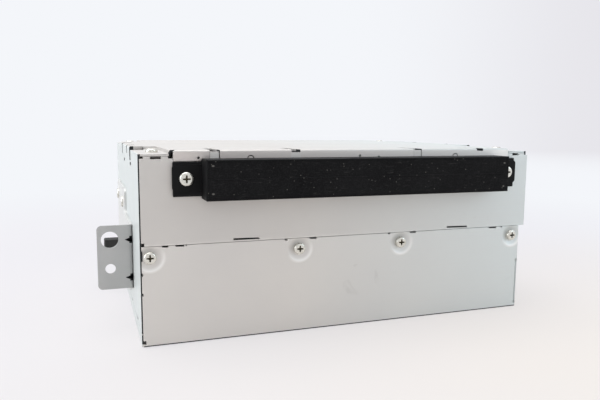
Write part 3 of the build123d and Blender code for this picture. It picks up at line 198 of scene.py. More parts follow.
def layered(tree: Tree, base: Shade, layers: list[Layer]) -> Socket:
    """Lay colours over a base, each by its own share.

    Args:
        tree: node tree that gets the colours.
        base: the lowest colour, as hex or as a socket.
        layers: share and colour of each layer, from the lowest up.

    Returns:
        The socket of the colour that is seen.
    """
    seen = base
    for share, shade in layers:
        under, over = (linear(colour) if isinstance(colour, str) else colour for colour in (seen, shade))
        # A Mix node's sockets for colours share their names with its other sockets, so they go by number.
        mix = {"data_type": "RGBA", 0: share, 6: under, 7: over}
        seen = add_node(tree, "ShaderNodeMix", mix).outputs[2]
    return seen


def front_offset(tree: Tree, place: Socket, spot_mm: Pair, rise: float = 1.0) -> Socket:
    """Measure how far each point lies from a spot on the front, seen square from ahead.

    Args:
        tree: node tree that gets the measure.
        place: object coordinates.
        spot_mm: x and height of the spot.
        rise: how much a step up counts, next to a step along X.

    Returns:
        The offset from the spot, in metres.
    """
    x, z = spot_mm
    moved = {"Location": (-x * MM, 0.0, -z * MM * rise), "Scale": (1.0, 0.0, rise), "Vector": place}
    return add_node(tree, "ShaderNodeMapping", moved).outputs[0]


def welded_copy(node: bpy.types.Object) -> bmesh.types.BMesh:
    """Copy the shape of a CAD node and merge its loose triangles.

    Args:
        node: CAD node.

    Returns:
        The copy, in the part's frame.
    """
    shape = bmesh.new()
    shape.from_mesh(node.data)
    bmesh.ops.remove_doubles(shape, verts=shape.verts, dist=WELD)
    return shape


def longest_edge(face: bmesh.types.BMFace) -> float:
    """Length of a face's longest edge, in metres."""
    return max(edge.calc_length() for edge in face.edges)


def show(thing: bpy.types.Object) -> bpy.types.Object:
    """Put an object in the scene, and hand it back."""
    bpy.context.scene.collection.objects.link(thing)
    return thing


def show_shape(name: str, shape: bmesh.types.BMesh, material: bpy.types.Material) -> bpy.types.Object:
    """Turn a finished shape into an object of the scene.

    Args:
        name: name of the object.
        shape: its shape in metres; it is freed here.
        material: what it is made of.

    Returns:
        The new object.
    """
    mesh = bpy.data.meshes.new(name)
    shape.to_mesh(mesh)
    shape.free()
    mesh.materials.append(material)
    return show(bpy.data.objects.new(name, mesh))


class Ramp(NamedTuple):
    """A share that goes from low to high between two levels, and keeps its value outside them."""

    start: float
    end: float
    low: float = 0.0
    high: float = 1.0
    curve: Curve = Curve.STRAIGHT

    def of(self, level: Socket) -> dict[str, Any]:
        """Settings of a Map Range node that turns a level into the share."""
        limits = {"From Min": self.start, "From Max": self.end, "To Min": self.low, "To Max": self.high}
        return {"interpolation_type": self.curve.value, "Value": level} | limits


class Patch(NamedTuple):
    """A stretch of surface in millimetres: its y, its x and z, its play in y, and whether -x has it too."""

    y: float
    x: Pair
    z: Pair
    play: float = 0.03
    both_sides: bool = False

    def mask(self, tree: Tree, axes: Axes) -> Socket:
        """Mark the stretch.

        Args:
            tree: node tree that gets the mask.
            axes: x, y and z of the object coordinates.

        Returns:
            A socket that gives 1 on the stretch and 0 elsewhere.
        """
        across = axes[Axis.X]
        if self.both_sides:
            across = add_node(tree, "ShaderNodeMath", {"operation": "ABSOLUTE", 0: across}).outputs[0]
        near = {"operation": "COMPARE", 0: axes[Axis.Y], 1: self.y * MM, 2: self.play * MM}
        inside = [add_node(tree, "ShaderNodeMath", near).outputs[0]]
        for axis, (low, high) in ((across, self.x), (axes[Axis.Z], self.z)):
            near = {"operation": "COMPARE", 0: axis, 1: (low + high) / 2 * MM, 2: (high - low) / 2 * MM}
            inside.append(add_node(tree, "ShaderNodeMath", near).outputs[0])
        return meeting(tree, *inside)


# ---------------------------------------------------------------- finishes
@dataclass(frozen=True)
class Finish:
    """A surface: its colour and its drift, its gloss, and the grain that the light catches."""

    name: str
    colour: str
    drift: str
    metallic: float = 0.0
    roughness: float = 0.5
    rough_drift: float = 0.08
    specular: float = 0.5
    sheen: float = 0.0
    sheen_roughness: float = 0.5
    drift_mm: float = 18.0
    drift_detail: float = 4.0
    drift_levels: Pair = (0.3, 0.7)
    # Much real grain is too fine to show in the render, so it is drawn this coarse.
    grain_mm: float = 0.4
    grain_detail: float = 2.0
    grain_depth_mm: float = 0.004

    def material(self) -> bpy.types.Material:
        """Build the material.

        Returns:
            The finished material.
        """
        made = bpy.data.materials.new(self.name)
        tree = empty_tree(made)
        place = add_node(tree, "ShaderNodeTexCoord").outputs["Object"]
        broad = {"Scale": per_mm(self.drift_mm), "Detail": self.drift_detail, "Vector": place}
        blotch = add_node(tree, "ShaderNodeTexNoise", broad).outputs[0]
        fine = {"Scale": per_mm(self.grain_mm), "Detail": self.grain_detail, "Vector": place}
        grain = add_node(tree, "ShaderNodeTexNoise", fine).outputs[0]
        share = add_node(tree, "ShaderNodeMapRange", Ramp(*self.drift_levels).of(blotch)).outputs[0]
        gloss = (self.roughness - self.rough_drift, self.roughness + self.rough_drift)
        rough = add_node(tree, "ShaderNodeMapRange", Ramp(*self.drift_levels, *gloss).of(blotch)).outputs[0]
        relief = {"Strength": 1.0, "Distance": self.grain_depth_mm * MM, "Height": grain}
        surface = {
            "Base Color": layered(tree, self.colour, [(share, self.drift), *self.marks(tree, place)]),
            "Metallic": self.metallic,
            "Roughness": rough,
            "Normal": add_node(tree, "ShaderNodeBump", relief).outputs[0],
            "Specular IOR Level": self.specular,
            "Sheen Weight": self.sheen,
            "Sheen Roughness": self.sheen_roughness,
        }
        shader = add_node(tree, "ShaderNodeBsdfPrincipled", surface)
        add_node(tree, "ShaderNodeOutputMaterial", {"Surface": shader.outputs[0]})
        return made

    def marks(self, tree: Tree, place: Socket) -> list[Layer]:
        """Layers over the drifting colour; a plain finish has none."""
        return []


@dataclass(frozen=True)
class RolledSheet(Finish):
    """Rolled or drawn metal: an even soft grey, with fine lines along X and a few faint scuffs."""

    # Real rolling lines are too fine to show in the render, so they are drawn this coarse.
    line_mm: float = 0.35
    line_length_mm: float = 60.0
    line_detail: float = 3.0
    line_roughness: float = 0.6
    line_ramp: Ramp = Ramp(0.5, 0.85, high=0.3)
    scuff: str = "#9c9995"
    scuff_mm: float = 22.0
    scuff_detail: float = 8.0
    scuff_distortion: float = 1.2
    scuff_ramp: Ramp = Ramp(0.68, 0.73, high=0.16)

    def marks(self, tree: Tree, place: Socket) -> list[Layer]:
        """Draw rolling lines along X and scattered thin scuffs.

        Args:
            tree: node tree that gets them.
            place: object coordinates.

        Returns:
            Their layers.
        """
        scale = (per_mm(self.line_length_mm), per_mm(self.line_mm), per_mm(self.line_mm))
        stretched = add_node(tree, "ShaderNodeMapping", {"Scale": scale, "Vector": place}).outputs[0]
        rolling = {"Scale": 1.0, "Detail": self.line_detail, "Roughness": self.line_roughness}
        lines = add_node(tree, "ShaderNodeTexNoise", rolling | {"Vector": stretched}).outputs[0]
        handling = {"Detail": self.scuff_detail, "Distortion": self.scuff_distortion, "Vector": place}
        tab_highlights = add_node(tree, "ShaderNodeTexNoise", {"Scale": per_mm(self.scuff_mm)} | handling).outputs[0]
        return [
            (add_node(tree, "ShaderNodeMapRange", self.line_ramp.of(lines)).outputs[0], self.drift),
            (add_node(tree, "ShaderNodeMapRange", self.scuff_ramp.of(tab_highlights)).outputs[0], self.scuff),
        ]


@dataclass(frozen=True)
class ScrewSeat:
    """A screw seat pressed into the front, with painted shade at its upper left and a painted highlight on its
    lower edge.
    """

    front_mm: float = -82.2
    front_play_mm: float = 1.0
    half_width_mm: float = 7.0
    upper_left: Triple = (-0.5, 0.0, 0.87)
    # Painted shade on the seat's slope at its upper left, and a painted highlight on its lower edge.
    seat_shade: str = "#8b8986"
    seat_shade_reach: Ramp = Ramp(5.2 * MM, 3.2 * MM, high=0.42)
    seat_shade_side: Ramp = Ramp(-2.0 * MM, 3.5 * MM)
    rim_highlight: str = "#efedea"
    rim_radius_mm: float = 5.5
    rim_highlight_width: Ramp = Ramp(1.2 * MM, 0.1 * MM, high=0.7)
    rim_highlight_side: Ramp = Ramp(1.0 * MM, -4.5 * MM)

    def marks(self, tree: Tree, place: Socket, axes: Axes, spot_mm: Pair) -> list[Layer]:
        """Paint shade and a highlight into the seat of one screw.

        Args:
            tree: node tree that gets the seat.
            place: object coordinates.
            axes: their x, y and z.
            spot_mm: x and height of the screw.

        Returns:
            The layers of the painted shade and of the painted highlight.
        """
        offset = front_offset(tree, place, spot_mm)
        reach = add_node(tree, "ShaderNodeVectorMath", {"operation": "LENGTH", 0: offset}).outputs["Value"]
        leaning = {"operation": "DOT_PRODUCT", 0: offset, 1: self.upper_left}
        lean = add_node(tree, "ShaderNodeVectorMath", leaning).outputs["Value"]
        outside = {"operation": "SUBTRACT", 0: reach, 1: self.rim_radius_mm * MM}
        off_rim = add_node(tree, "ShaderNodeMath", outside).outputs[0]
        gap = add_node(tree, "ShaderNodeMath", {"operation": "ABSOLUTE", 0: off_rim}).outputs[0]
        x_range, z_range = [(at - self.half_width_mm, at + self.half_width_mm) for at in spot_mm]
        front = Patch(self.front_mm, x_range, z_range, self.front_play_mm).mask(tree, axes)
        layers: list[Layer] = []
        for ring, side, shade in (
            (self.seat_shade_reach.of(reach), self.seat_shade_side.of(lean), self.seat_shade),
            (self.rim_highlight_width.of(gap), self.rim_highlight_side.of(lean), self.rim_highlight),
        ):
            near = add_node(tree, "ShaderNodeMapRange", ring).outputs[0]
            facing = add_node(tree, "ShaderNodeMapRange", side).outputs[0]
            layers.append((meeting(tree, near, facing, front), shade))
        return layers


@dataclass(frozen=True)
class ShearedSheet(RolledSheet):
    """Zinc-coated sheet with painted cool light, stretches painted darker or in a tone of their own, painted
    highlights, painted shade on dark faces, and painted shade and highlight round pressed screw seats.
    """

    # Painted cool light on the sheet's right end and on its left side.
    cool_light_tint: str | None = None
    cool_light_end: Ramp = Ramp(-30.0 * MM, 90.0 * MM)
    cool_light_side: Ramp = Ramp(-94.8 * MM, -95.0 * MM)
    # A stretch painted darker, most at the left and less towards the right.
    darkened: Patch | None = None
    darkening: str = "#a9a49f"
    darkening_fade: Ramp = Ramp(-20.0 * MM, 90.0 * MM, 0.24, 0.06)
    # A stretch in a tone of its own, changing towards the right; both are painted light on the brackets, and the
    # change is painted light on the cover's flange.
    toned: Patch | None = None
    stain: str = "#cdc5c0"
    tone_right: str = "#e6e4e0"
    tone_change: Ramp = Ramp(-80.0 * MM, 80.0 * MM)
    # Painted highlights where tabs catch more light.
    tab_highlights: tuple[Patch, ...] = ()
    tab_highlight: str = "#d9d6d2"
    # Painted near-black shade on faces in slots, vents, darts and gaps; some of them are bare sheared edges too.
    shade_and_cut_faces: tuple[Patch, ...] = ()
    cut: str = "#26282a"
    seats_mm: tuple[Pair, ...] = ()
    seat: ScrewSeat = ScrewSeat()

    def marks(self, tree: Tree, place: Socket) -> list[Layer]:
        """Paint cool light on the right end and the left side, and add the stretches painted darker or toned,
        the painted highlights, the seats' painted shade and highlight, and the painted shade on dark faces.

        Args:
            tree: node tree that gets them.
            place: object coordinates.

        Returns:
            Their layers, with the lines and scuffs over the cool coat.
        """
        axes = tuple(add_node(tree, "ShaderNodeSeparateXYZ", {0: place}).outputs)
        along = axes[Axis.X]
        layers: list[Layer] = []
        if self.cool_light_tint:
            end = add_node(tree, "ShaderNodeMapRange", self.cool_light_end.of(along)).outputs[0]
            side = add_node(tree, "ShaderNodeMapRange", self.cool_light_side.of(along)).outputs[0]
            cool = add_node(tree, "ShaderNodeMath", {"operation": "MAXIMUM", 0: end, 1: side}).outputs[0]
            layers.append((cool, self.cool_light_tint))
        layers += super().marks(tree, place)
        if self.darkened:
            fade = add_node(tree, "ShaderNodeMapRange", self.darkening_fade.of(along)).outputs[0]
            layers.append((meeting(tree, self.darkened.mask(tree, axes), fade), self.darkening))
        if self.toned:
            change = add_node(tree, "ShaderNodeMapRange", self.tone_change.of(along)).outputs[0]
            stain = layered(tree, self.stain, [(change, self.tone_right)])
            layers.append((self.toned.mask(tree, axes), stain))
        layers += [(patch.mask(tree, axes), self.tab_highlight) for patch in self.tab_highlights]
        for spot_mm in self.seats_mm:
            layers += self.seat.marks(tree, place, axes, spot_mm)
        layers += [(patch.mask(tree, axes), self.cut) for patch in self.shade_and_cut_faces]
        return layers


@dataclass(frozen=True)
class RecessShadedScrew(Finish):
    """Plated screw with painted shade in the cross-shaped hollow of its head."""

    # Painted shade in the cross-shaped hollows.
    recess_shade: str = "#3f3929"
    recess_radius_mm: float = 1.75
    recess_depth_mm: float = 0.06
    head_faces_mm: tuple[Triple, ...] = ()

    def marks(self, tree: Tree, place: Socket) -> list[Layer]:
        """Paint shade into the cross-shaped hollow of each screw head that faces the front.

        Args:
            tree: node tree that gets the recesses.
            place: object coordinates.

        Returns:
            The layers of the recesses.
        """
        back = add_node(tree, "ShaderNodeSeparateXYZ", {0: place}).outputs[Axis.Y]
        layers: list[Layer] = []
        for x, y, z in self.head_faces_mm:
            across = {"operation": "LENGTH", 0: front_offset(tree, place, (x, z))}
            reach = add_node(tree, "ShaderNodeVectorMath", across).outputs["Value"]
            near = {"operation": "LESS_THAN", 0: reach, 1: self.recess_radius_mm * MM}
            inside = add_node(tree, "ShaderNodeMath", near).outputs[0]
            deep = {"operation": "GREATER_THAN", 0: back, 1: (y + self.recess_depth_mm) * MM}
            sunk = add_node(tree, "ShaderNodeMath", deep).outputs[0]
            layers.append((meeting(tree, inside, sunk), self.recess_shade))
        return layers


@dataclass(frozen=True)
class FlockedFelt(Finish):
    """Black felt flocking: a matt nap with pale dust and lint caught in it."""

    worn_nap: str = "#323233"
    nap_mm: float = 0.5
    nap_detail: float = 3.0
    nap_ramp: Ramp = Ramp(0.45, 0.8, high=0.3)
    dust: str = "#8a8780"
    dust_cell_mm: float = 1.5
    dust_rarity: float = 0.8
    dust_speck: Ramp = Ramp(0.2, 0.06, high=0.4)
    lint: str = "#4a4947"
    lint_size_mm: Triple = (3.5, 1.4, 0.6)
    lint_detail: float = 4.0
    lint_distortion: float = 0.8
    lint_ramp: Ramp = Ramp(0.6, 0.76, high=0.28)
    # Pale spots near the bezel's four corners.
    corner_spot: str = "#b9b6b0"
    corner_spot_reach: Ramp = Ramp(0.75 * MM, 0.3 * MM, high=0.22)
    corner_spot_rise: float = 1.6
    corner_spots_mm: tuple[Pair, ...] = ()

    def marks(self, tree: Tree, place: Socket) -> list[Layer]:
        """Add a worn nap, dust specks, caught lint, and a pale spot near each corner of the bezel.

        Args:
            tree: node tree that gets them.
            place: object coordinates.

        Returns:
            Their layers.
        """
        soft = {"Scale": per_mm(self.nap_mm), "Detail": self.nap_detail, "Vector": place}
        nap = add_node(tree, "ShaderNodeTexNoise", soft).outputs[0]
        worn = add_node(tree, "ShaderNodeMapRange", self.nap_ramp.of(nap)).outputs[0]
        scale = tuple(per_mm(size_mm) for size_mm in self.lint_size_mm)
        stretched = add_node(tree, "ShaderNodeMapping", {"Scale": scale, "Vector": place}).outputs[0]
        curled = {"Scale": 1.0, "Detail": self.lint_detail, "Distortion": self.lint_distortion}
        fibres = add_node(tree, "ShaderNodeTexNoise", curled | {"Vector": stretched}).outputs[0]
        caught = add_node(tree, "ShaderNodeMapRange", self.lint_ramp.of(fibres)).outputs[0]
        layers: list[Layer] = [(worn, self.worn_nap), (self.specks(tree, place), self.dust), (caught, self.lint)]
        for spot_mm in self.corner_spots_mm:
            across = {"operation": "LENGTH", 0: front_offset(tree, place, spot_mm, self.corner_spot_rise)}
            reach = add_node(tree, "ShaderNodeVectorMath", across).outputs["Value"]
            spotted = add_node(tree, "ShaderNodeMapRange", self.corner_spot_reach.of(reach)).outputs[0]
            layers.append((spotted, self.corner_spot))
        return layers

    def specks(self, tree: Tree, place: Socket) -> Socket:
        """Scatter dust specks over a few cells.

        Args:
            tree: node tree that gets the specks.
            place: object coordinates.

        Returns:
            A socket that gives the share of dust.
        """
        cells = {"Scale": per_mm(self.dust_cell_mm), "Vector": place}
        cell = add_node(tree, "ShaderNodeTexVoronoi", cells).outputs
        chance = add_node(tree, "ShaderNodeSeparateColor", {0: cell["Color"]}).outputs[0]
        chosen = {"operation": "GREATER_THAN", 0: chance, 1: self.dust_rarity}
        rare = add_node(tree, "ShaderNodeMath", chosen).outputs[0]
        speck = add_node(tree, "ShaderNodeMapRange", self.dust_speck.of(cell["Distance"])).outputs[0]
        return meeting(tree, rare, speck)


@dataclass(frozen=True)
class TracedBoard(Finish):
    """Solder mask over copper: a green board with slightly lighter tracks."""

    track: str = "#2f7a45"
    track_mm: float = 2.6
    track_ramp: Ramp = Ramp(0.30, 0.34, high=0.5)

    def marks(self, tree: Tree, place: Socket) -> list[Layer]:
        """Add copper tracks that show through the mask.

        Args:
            tree: node tree that gets the tracks.
            place: object coordinates.

        Returns:
            The layer of the tracks.
        """
        layout = {"Scale": per_mm(self.track_mm), "distance": "MANHATTAN", "Vector": place}
        cells = add_node(tree, "ShaderNodeTexVoronoi", layout).outputs[0]
        return [(add_node(tree, "ShaderNodeMapRange", self.track_ramp.of(cells)).outputs[0], self.track)]


# Just outside the cover's sides, and just above its top.
OUTSIDE_MM = 95.2
ABOVE_MM = 81.6
# Ends along X of the slots at the bend of the cover's front flange, from the left.
FLANGE_SLOTS_MM = ((-66.3, -61.85), (-30.55, -26.25), (29.8, 34.25), (64.7, 68.6))
# The screws in the lower front plate and in the slot bezel.
SEAT_X_MM = (-91.25, -26.45, 24.35, 87.55)
SEAT_Z_MM = 37.6
BEZEL_SCREW_X_MM = (-76.35, 80.85)
BEZEL_SCREW_Z_MM = 69.9

# Electro-galvanised steel sheet, skin-passed: an even satin grey that mirrors the room only as a soft glow.
ZINC_SHEET = ShearedSheet(
    "galvanised_steel_sheet", "#d1cdc8", "#ccc8c4", metallic=0.45, roughness=0.46, rough_drift=0.04,
    # The cool colour on the next line is painted cool light on the sheet's right end and left side.
    drift_mm=45.0, grain_mm=0.5, grain_depth_mm=0.002, cool_light_tint="#ced3d2",
    # the upper front plate, painted darker, most at its left end
    darkened=Patch(-83.0, (-95.0, 95.0), (43.0, 81.0), 1.0),
    # the cover's front flange: a darker warm tone, with painted light that turns it lighter and cooler to the
    # right
    toned=Patch(-82.5, (-81.3, 83.4), (76.8, 80.8)),
    # painted highlights below three of its slots, where tabs catch more light
    tab_highlights=tuple(Patch(-82.5, slot, (76.8, 80.6)) for slot in FLANGE_SLOTS_MM[:3]),
    shade_and_cut_faces=(
        # the front edges of the cover's sides: bare sheared steel, with painted shadow of the gap there
        Patch(-81.2, (94.1, OUTSIDE_MM), (0.0, 81.0), both_sides=True),
        # painted shade in the slots at the bend of its front flange
        *(Patch(-79.3, slot, (80.3, 81.44), 3.0) for slot in FLANGE_SLOTS_MM),
        # painted shade on the back ends of the vents over its long edges
        Patch(25.0, (89.0, OUTSIDE_MM), (75.4, ABOVE_MM), both_sides=True),
        Patch(-12.0, (90.0, OUTSIDE_MM), (77.0, ABOVE_MM), both_sides=True),
        Patch(-34.0, (93.2, OUTSIDE_MM), (74.6, ABOVE_MM), both_sides=True),
        # painted shade on the back ends of the slots in its sides
        Patch(9.2, (94.0, OUTSIDE_MM), (72.2, 74.2), both_sides=True),
        Patch(-35.6, (94.0, OUTSIDE_MM), (72.5, 74.5), both_sides=True),
        # painted shade on the back ends of the relief slots round its front flange
        Patch(-79.0, (-83.5, -78.0), (76.5, ABOVE_MM)),
        Patch(-79.0, (80.0, 86.0), (76.5, ABOVE_MM)),
        # painted contact shadow along the foot of the lower front plate
        Patch(-82.4, (-94.5, 92.1), (0.0, 0.65), 0.2),
    ),
    seats_mm=tuple((x, SEAT_Z_MM) for x in SEAT_X_MM),
)
# Zinc-plated steel, stamped: a dull grey, with painted light that makes the plates along the case's sides
# brighter than the ears.
ZINC_BRACKET = ShearedSheet(
    "dull_zinc_plated_steel", "#b2b2b1", "#a8a8a7", metallic=0.5, roughness=0.5, drift_mm=20.0,
    scuff_ramp=Ramp(0.68, 0.73, high=0.1),
    # painted light: the plates along the case's sides are painted brighter
    toned=Patch(12.0, (-100.0, 100.0), (0.0, 80.0), 53.0), stain="#d3d3d1", tone_right="#d3d3d1",
    # painted shade in the two pressed darts at each bend
    shade_and_cut_faces=tuple(Patch(-40.6, (94.9, 98.8), z, 1.85, both_sides=True) for z in ((36.6, 40.0), (18.6, 22.0))),
)
# Bright zinc plating on the screws: silver with a sharp glint.
BRIGHT_ZINC = RecessShadedScrew(
    "bright_zinc_plated_steel", "#e2e0d8", "#cfccc2", metallic=0.85, roughness=0.26, drift_mm=1.6,
    grain_mm=0.2,
    # Painted shade in the cross-shaped hollow of each head that faces the front.
    head_faces_mm=(
        *((x, -83.5, SEAT_Z_MM) for x in SEAT_X_MM),
        *((x, -86.1, BEZEL_SCREW_Z_MM) for x in BEZEL_SCREW_X_MM),
    ),
)
# Moulded ABS with a fine spark-eroded grain: black with a dull sheen.
BLACK_ABS = Finish(
    "moulded_black_abs", "#0a0a0b", "#101011", roughness=0.6, specular=0.14, grain_mm=0.35,
    grain_depth_mm=0.01,
)
# Flocked felt: takes nearly all light, its fibres catch dust, and it has pale spots near the bezel's corners.
FELT = FlockedFelt(
    "black_felt_flocking", "#0f0f10", "#161617", roughness=0.95, rough_drift=0.03, specular=0.08,
    sheen=0.03, drift_mm=14.0, grain_mm=0.3, grain_depth_mm=0.05,
    corner_spots_mm=((-67.1, 75.6), (-67.1, 64.4), (72.5, 75.0), (72.5, 64.0)),
)
# Nitrile rubber: black with a soft dull gloss.
RUBBER = Finish("nitrile_rubber", "#1d1d1d", "#262625", roughness=0.72, grain_mm=0.5, grain_depth_mm=0.01)
# Moulded acetal: milky white and slightly waxy.
ACETAL = Finish("white_acetal", "#e4dfd2", "#dcd6c6", roughness=0.38, drift_mm=6.0)
# Ground steel shafts: bright, with a narrow highlight along them.
GROUND_STEEL = Finish(
    "ground_steel", "#c4c5c6", "#b2b3b4", metallic=1.0, roughness=0.24, drift_mm=3.0, grain_mm=0.15
)
# Drawn steel motor cans: smooth and satin.
DRAWN_STEEL = Finish("drawn_steel_can", "#b7b8b8", "#a8a9a9", metallic=1.0, roughness=0.34, drift_mm=5.0)
# Solder mask on a glass-filled epoxy board: a deep glossy green.
SOLDER_MASK = TracedBoard("green_solder_mask", "#14502c", "#10462a", roughness=0.35, drift_mm=40.0)
# Moulded epoxy and capacitor sleeves: near black and half matt.
EPOXY = Finish("black_epoxy", "#202124", "#28282b", roughness=0.5, drift_mm=6.0)
# Hot-dipped tin on the tuner's can: a warm silver with a soft mirror.
TINPLATE = Finish("tinned_steel", "#cfcdc4", "#bfbdb3", metallic=1.0, roughness=0.3, drift_mm=9.0)
# Extruded aluminium, bare: bright grey with fine die lines.
EXTRUDED_ALLOY = RolledSheet(
    "extruded_aluminium", "#c9cbcd", "#bcbec0", metallic=1.0, roughness=0.38, drift_mm=20.0, line_mm=0.3
)
# Nickel plating on the aerial socket: warm and bright.
NICKEL = Finish("nickel_plated_brass", "#cbc7bd", "#bdb9ae", metallic=1.0, roughness=0.22, drift_mm=3.0)

SLOT_FINISHES: dict[Slot, Finish] = {
    Slot.SHEET: ZINC_SHEET,
    Slot.BRACKET: ZINC_BRACKET,
    Slot.SCREW: BRIGHT_ZINC,
    Slot.PLASTIC: BLACK_ABS,
    Slot.FELT: FELT,
    Slot.RUBBER: RUBBER,
    Slot.GEAR: ACETAL,
    Slot.SHAFT: GROUND_STEEL,
    Slot.MOTOR: DRAWN_STEEL,
    Slot.BOARD: SOLDER_MASK,
    Slot.COMPONENT: EPOXY,
    Slot.TUNER: TINPLATE,
    Slot.HEAT_SINK: EXTRUDED_ALLOY,
    Slot.ANTENNA: NICKEL,
}


# ---------------------------------------------------------------- the changer's pieces
@dataclass
class Workshop:
    """Builds each finish once and puts pieces in the scene."""

    frame: dict[str, Any]
    broad_mm2: float = 20.0
    broad_crease: float = math.radians(3.0)
    fine_crease: float = math.radians(32.0)
    made: dict[Slot, bpy.types.Material] = field(default_factory=dict)

    def material(self, slot: Slot) -> bpy.types.Material:
        """Find the material of a record slot, and build it at its first use.

        Args:
            slot: the slot.

        Returns:
            Its material.
        """
        if slot not in self.made:
            self.made[slot] = SLOT_FINISHES[slot].material()
        return self.made[slot]

    def dress_nodes(self) -> None:
        """Give every CAD node the finish of its material slot."""
        for part in self.frame["record"]["subparts"]:
            materials = self.frame["nodes"][part["node"]].data.materials
            materials.clear()
            materials.append(self.material(Slot(part["material_slot"])))

    def place(
        self, name: str, shape: bmesh.types.BMesh, body: Body, slot: Slot, *replaced: str
    ) -> bpy.types.Object:
        """Turn a finished shape into a piece of the changer.

        Args:
            name: name of the piece.
            shape: its shape in metres, in the part's frame; it is freed here.
            body: moving group that it rides on.
            slot: record slot of its finish.
            replaced: CAD nodes that it stands for.

        Returns:
            The new object.
        """
        self.crease(shape)
        piece = show_shape(name, shape, self.material(slot))
        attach(piece, body.value)
        if replaced:
            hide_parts(*replaced)
        LOG.info("%s: %d faces on %s", name, len(piece.data.polygons), body.value)
        return piece

    def crease(self, shape: bmesh.types.BMesh) -> None:
        """Shade a shape smoothly, but keep its creases and the flat look of its broad faces.

        Args:
            shape: the shape to shade.
        """
        for face in shape.faces:
            face.smooth = True
        for edge in shape.edges:
            if len(edge.link_faces) != 2:
                continue
            turn = edge.calc_face_angle(0.0)
            broad = max(face.calc_area() for face in edge.link_faces) > self.broad_mm2 * MM * MM
            edge.smooth = turn < (self.broad_crease if broad else self.fine_crease)


@dataclass
class OuterShells:
    """The sheets, brackets, bezel and screws that show outside, with broken edges that catch the light."""

    edge_mm: float = 0.14
    moulded_edge_mm: float = 0.2
    shortest_edge_mm: float = 0.9
    sharp_angle: float = math.radians(38.0)
    flat_angle: float = math.radians(0.5)
    nodes: dict[str, Slot] = field(
        default_factory=lambda: {
            "top_cover": Slot.SHEET,
            "upper_front_plate": Slot.SHEET,
            "lower_front_plate": Slot.SHEET,
            "base_tray": Slot.SHEET,
            "rear_panel": Slot.SHEET,
            "left_bracket": Slot.BRACKET,
            "right_bracket": Slot.BRACKET,
            "slot_bezel": Slot.PLASTIC,
            "case_screws": Slot.SCREW,
            "bezel_screws": Slot.SCREW,
        }
    )

    def build(self, shop: Workshop) -> None:
        """Replace each outer shell by a copy with broken edges.

        Args:
            shop: workshop that places the copies.
        """
        for node, slot in self.nodes.items():
            width_mm = self.moulded_edge_mm if slot is Slot.PLASTIC else self.edge_mm
            shape = self.broken_edges(shop.frame["nodes"][node], width_mm)
            shop.place(f"{node}_broken_edges", shape, Body.CASE, slot, node)

    def broken_edges(self, node: bpy.types.Object, width_mm: float) -> bmesh.types.BMesh:
        """Copy a CAD node, join its flat faces and bevel its sharp edges.

        Args:
            node: CAD node.
            width_mm: width of the bevel.

        Returns:
            The bevelled copy.
        """
        shape = welded_copy(node)
        bmesh.ops.dissolve_limit(
            shape, angle_limit=self.flat_angle, verts=shape.verts, edges=shape.edges,
            use_dissolve_boundaries=False,
        )
        sharp = [
            edge
            for edge in shape.edges
            if len(edge.link_faces) == 2
            and edge.calc_length() > self.shortest_edge_mm * MM
            and edge.calc_face_angle(0.0) > self.sharp_angle
        ]
        bmesh.ops.bevel(
            shape, geom=sharp, offset=width_mm * MM, affect="EDGES", segments=2, profile=0.5, material=-1,
            clamp_overlap=False,
        )
        return shape


@dataclass(frozen=True)
class FeltLips:
    """The two lips of felt: a soft uneven nap whose edges almost touch at the slit."""

    left_mm: float = -69.2
    right_mm: float = 74.9
    back_mm: float = -92.6
    front_mm: float = -93.75
    bottom_mm: float = 62.05
    slit_mm: float = 70.2
    half_slit_mm: float = 0.03
    top_mm: float = 77.45
    columns: int = 260
    rows: int = 12
    nap_mm: float = 0.09
    tuft_mm: float = 0.9
    fibre_mm: float = 0.3
    fibre_share: float = 0.5

    def build(self, shop: Workshop) -> None:
        """Make both lips as one piece.

        Args:
            shop: workshop that places the lips.
        """
        shape = bmesh.new()
        self.lip(shape, self.bottom_mm, self.slit_mm - self.half_slit_mm)
        self.lip(shape, self.slit_mm + self.half_slit_mm, self.top_mm)
        bmesh.ops.recalc_face_normals(shape, faces=shape.faces)
        shop.place("felt_lips", shape, Body.CASE, Slot.FELT, "felt_strips")

    def lip(self, shape: bmesh.types.BMesh, low_mm: float, high_mm: float) -> None:
        """Add one lip: a fine grid with an uneven nap, drawn back to the felt's thickness.

        Args:
            shape: mesh that gets the lip.
            low_mm: height of its lower edge.
            high_mm: height of its upper edge.
        """
        size = Vector((self.right_mm - self.left_mm, high_mm - low_mm, 1.0)) * MM
        middle = Vector((self.left_mm + self.right_mm, 2 * self.front_mm, low_mm + high_mm)) * (MM / 2)
        upright = Matrix.Rotation(math.radians(90), 4, "X")
        made = bmesh.ops.create_grid(
            shape,
            x_segments=self.columns,
            y_segments=self.rows,
            size=0.5,
            matrix=Matrix.Translation(middle) @ upright @ Matrix.Diagonal(size).to_4x4(),
        )
        faces = list({face for vert in made["verts"] for face in vert.link_faces})
        drawn = bmesh.ops.extrude_face_region(shape, geom=faces, use_keep_orig=True)
        rear = [part for part in drawn["geom"] if isinstance(part, bmesh.types.BMVert)]
        bmesh.ops.translate(shape, verts=rear, vec=(0.0, (self.back_mm - self.front_mm) * MM, 0.0))
        for vert in made["verts"]:
            tuft = noise.noise(vert.co / (self.tuft_mm * MM))
            fibre = noise.noise(vert.co / (self.fibre_mm * MM))
            vert.co.y += (tuft + self.fibre_share * fibre) * self.nap_mm * MM


